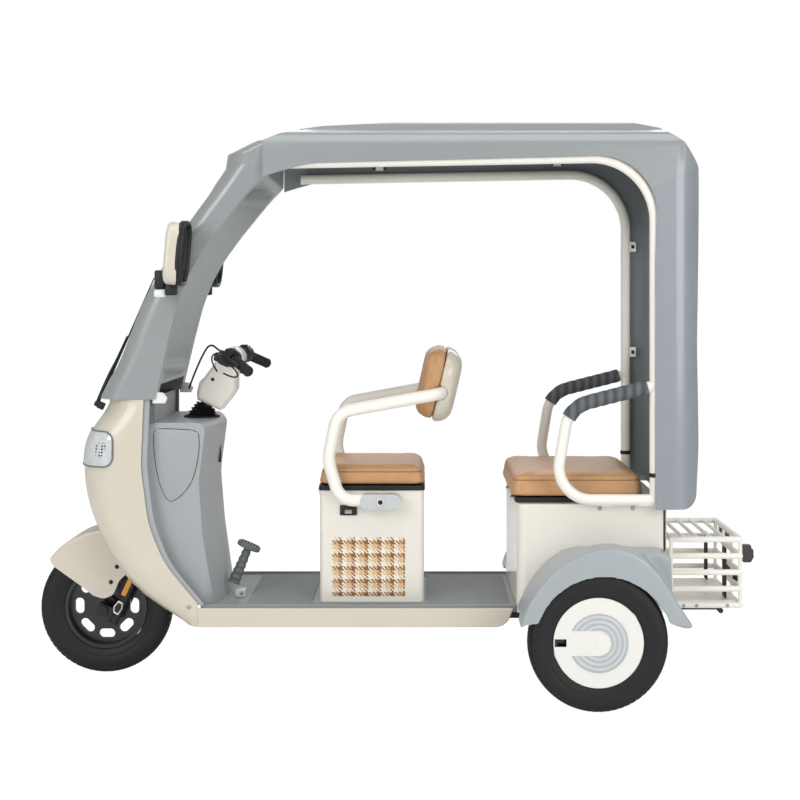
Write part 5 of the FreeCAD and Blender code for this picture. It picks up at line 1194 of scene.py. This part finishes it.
mat_y = [-mat_half, -box_half - 0.026, box_half + 0.026, mat_half]
bm = bmesh.new()
corners = [[bm.verts.new((x, y, mat_top)) for y in mat_y] for x in mat_x]
for i in range(3):
    for j in range(3):
        if (i, j) != (1, 1):
            bm.faces.new([corners[i][j], corners[i + 1][j], corners[i + 1][j + 1], corners[i][j + 1]])
thicken(bm, bm.faces[:], (0, 0, 0.0022))
mat = make_piece("ribbed_floor_mat", bm, mat_rubber, "root", 30.0)
print("mat faces:", len(mat.data.polygons))

# %% [markdown]
# ## Clips on the side tubes
# White tabs with a black part in them hold the side tubes to the canopy, and a black band sits
# low on each post. They stand between the tube and the lining, where the picture shows them.

# %% Clips on the side tubes
post_x, post_r = 0.797, 0.016
roof_tab, roof_tab_dark = (0.013, 0.0075, 0.012), (0.023, 0.0055, 0.007)
post_tab, post_tab_dark = (0.0105, 0.0075, 0.017), (0.0055, 0.0090, 0.006)
band = [(0.664, post_r - 0.0005), (0.664, post_r + 0.0018), (0.676, post_r + 0.0018), (0.676, post_r - 0.0005)]


def tab(name, at, half, dark):
    """White tab with a black part in it, both as half sizes about one point."""
    at = Vector(at)
    block(name, at - Vector(half), at + Vector(half), white_abs, 1.0)
    block(name + "_dark", at - Vector(dark), at + Vector(dark), black_abs, 0.8)


for side, hand in hands:
    y = side * side_tube_y
    for i, x in enumerate((-0.048, 0.562)):
        tab("roof_clip_%s_%d" % (hand, i), (x, y, 1.648 + 0.016 * i), roof_tab, roof_tab_dark)
    for i, z in enumerate((1.375, 1.014)):
        tab("post_clip_%s_%d" % (hand, i), (0.8215, y, z), post_tab, post_tab_dark)
    lofted("foot_clip_" + hand, [(Vector((post_x, y, z)), upright, r) for z, r in band], black_abs, "root",
           sides=28)

# %% [markdown]
# ## Stripe, nuts and screws
# The fork carries an amber stripe on each leg and a white hexagon with a black cap over its axle
# nut. Bolts hold the mudguard, the skirts, the seat box and the basket, where the picture shows
# them, and the same ones sit on the far side.

# %% Stripe, nuts and screws
leg_y, stripe_x, stripe_z = 0.062, 0.008, 0.037
nut_line = [(-0.862, 0.243), (-0.848, 0.235), (-0.851, 0.216), (-0.864, 0.197), (-0.878, 0.205), (-0.878, 0.224)]
nut_x, nut_z = -0.8635, 0.220
gusset_line = [(-0.872, 0.250), (-0.862, 0.292), (-0.842, 0.330), (-0.818, 0.330), (-0.830, 0.288), (-0.849, 0.242)]
bolt_rows = {  # places (x, z), distance from the middle, radius, finish and body
    "guard_bolt_": (((-0.866, 0.351), (-0.885, 0.3026)), 0.0858, 0.0055, black_steel, "steering"),
    "skirt_screw_": (((-0.607, 0.266),), 0.2836, 0.0055, steel, "root"),
    "box_bolt_": (((0.635, 0.5665), (0.735, 0.5665)), 0.2898, 0.006, steel, "root"),
    "basket_bolt_": (((0.905, 0.252), (0.945, 0.252), (1.040, 0.252)), 0.1990, 0.0045, steel, "root"),
    "pivot_cap_": (((-0.029, 0.578),), 0.2516, 0.0060, black_abs, "root"),
}
for side, hand in hands:
    leg = side * leg_y
    middle = (steered(0.022, 0, 0.062) + steered(0.022, 0, 0.136)) / 2
    block("fork_stripe_" + hand, (middle.x - stripe_x, leg + side * 0.0148, middle.z - stripe_z),
          (middle.x + stripe_x, leg + side * 0.0168, middle.z + stripe_z), amber, 0.8, "steering",
          turn_deg=rake_deg)
    prism("fork_plate_" + hand, gusset_line, leg - side * 0.008, leg + side * 0.006, black_abs, 1.0, "steering")
    for name, size, out, finish in (("fork_nut_", 1.0, 0.0200, white_abs), ("fork_cap_", 0.74, 0.0225, black_abs)):
        plate = [(nut_x + (x - nut_x) * size, nut_z + (z - nut_z) * size) for x, z in nut_line]
        prism(name + hand, plate, leg + side * 0.0150, leg + side * out, finish, 0.6, "steering")
    for name, (places, y, radius, finish, body) in bolt_rows.items():
        for i, (x, z) in enumerate(places):
            number = "_%d" % i if len(places) > 1 else ""
            bolt(name + hand + number, (x, side * y, z), (0, side, 0), radius, finish, body)

# %% [markdown]
# ## Dash, pillar feet, mirror arms and basket
# Each side of the dash has a pocket with a lid, ringed by a black line that is painted shadow in its groove, and
# the key stands in the middle of the dash's rear face. A white moulding closes the foot of each pillar, and a dark
# grey plate on its inner face is partly grey plastic and partly painted shade. A mirror's arm ends in a mount, a
# clamp and a knuckle. Two narrow woven strips line the basket's rear.

# %% Dash and basket details
pocket = [(-0.716, 0.800), (-0.660, 0.799), (-0.606, 0.796), (-0.588, 0.788), (-0.585, 0.770), (-0.586, 0.726),
          (-0.594, 0.680), (-0.607, 0.640), (-0.626, 0.610), (-0.650, 0.587), (-0.668, 0.577), (-0.680, 0.580),
          (-0.694, 0.601), (-0.708, 0.640), (-0.718, 0.690), (-0.724, 0.750), (-0.724, 0.790)]
white_foot = [(-0.722, 0.880), (-0.722, 0.898), (-0.710, 0.915), (-0.690, 0.912), (-0.677, 0.896), (-0.684, 0.880)]
grey_and_shade_foot = [(-0.790, 0.815), (-0.722, 0.815), (-0.722, 0.905), (-0.742, 0.926), (-0.790, 0.926)]
mirror_blocks = {"mirror_mount_": ((-0.664, 0.340, 1.209), (-0.630, 0.376, 1.244), black_abs),
                 "mirror_clamp_": ((-0.700, 0.330, 1.203), (-0.665, 0.362, 1.226), white_abs),
                 "mirror_knuckle_": ((-0.700, 0.328, 1.227), (-0.668, 0.352, 1.284), black_abs)}
for side, hand in hands:
    y = side * dash_half
    prism("pocket_lid_" + hand, pocket, y - side * 0.001, y + side * 0.0020, dash_abs, 1.2)
    # Black line round each lid: painted shadow in the groove round it.
    tube("pocket_shadow_line_" + hand, [(x, y + side * 0.0004, z) for x, z in pocket], 0.0016, black_abs, "root",
         closed=True, sides=8)
    prism("pillar_foot_white_" + hand, white_foot, side * 0.246, side * 0.2585, white_abs, 1.5)
    # Dark plate on each pillar's inner foot: partly grey plastic, partly painted shade.
    prism("pillar_foot_grey_and_painted_shade_" + hand, grey_and_shade_foot, side * 0.222, side * 0.234, shadow_abs, 2.0)
    for name, (one, other, finish) in mirror_blocks.items():
        block(name + hand, (one[0], side * one[1], one[2]), (other[0], side * other[1], other[2]), finish, 6.0)
block("key_body", (-0.566, -0.036, 0.676), (-0.544, -0.024, 0.726), black_abs, 1.5)
block("key_ring", (-0.547, -0.033, 0.712), (-0.539, -0.027, 0.733), steel, 0.8)

liner = moulded("woven_basket_liner", "2a2b2c", 0.7, drift=0.2, grain_mm=3.0, grain=0.5)
basket_rear = box_of("basket")[1].x
lamp_low, lamp_high = box_of("tail_lamps")
lamp_rear, lamp_y, lamp_z = lamp_high.x, 0.177, (lamp_low.z + lamp_high.z) / 2
for side, hand in hands:
    block("basket_liner_" + hand, (basket_rear - 0.052, side * 0.128, 0.268),
          (basket_rear - 0.047, side * 0.172, 0.425), liner, 1.5)
for side, hand in hands:
    y = side * lamp_y
    block("lamp_lens_" + hand, (lamp_rear - 0.004, y - 0.009, lamp_z - 0.012),
          (lamp_rear - 0.0005, y + 0.009, lamp_z + 0.012), red_lens, 1.0)
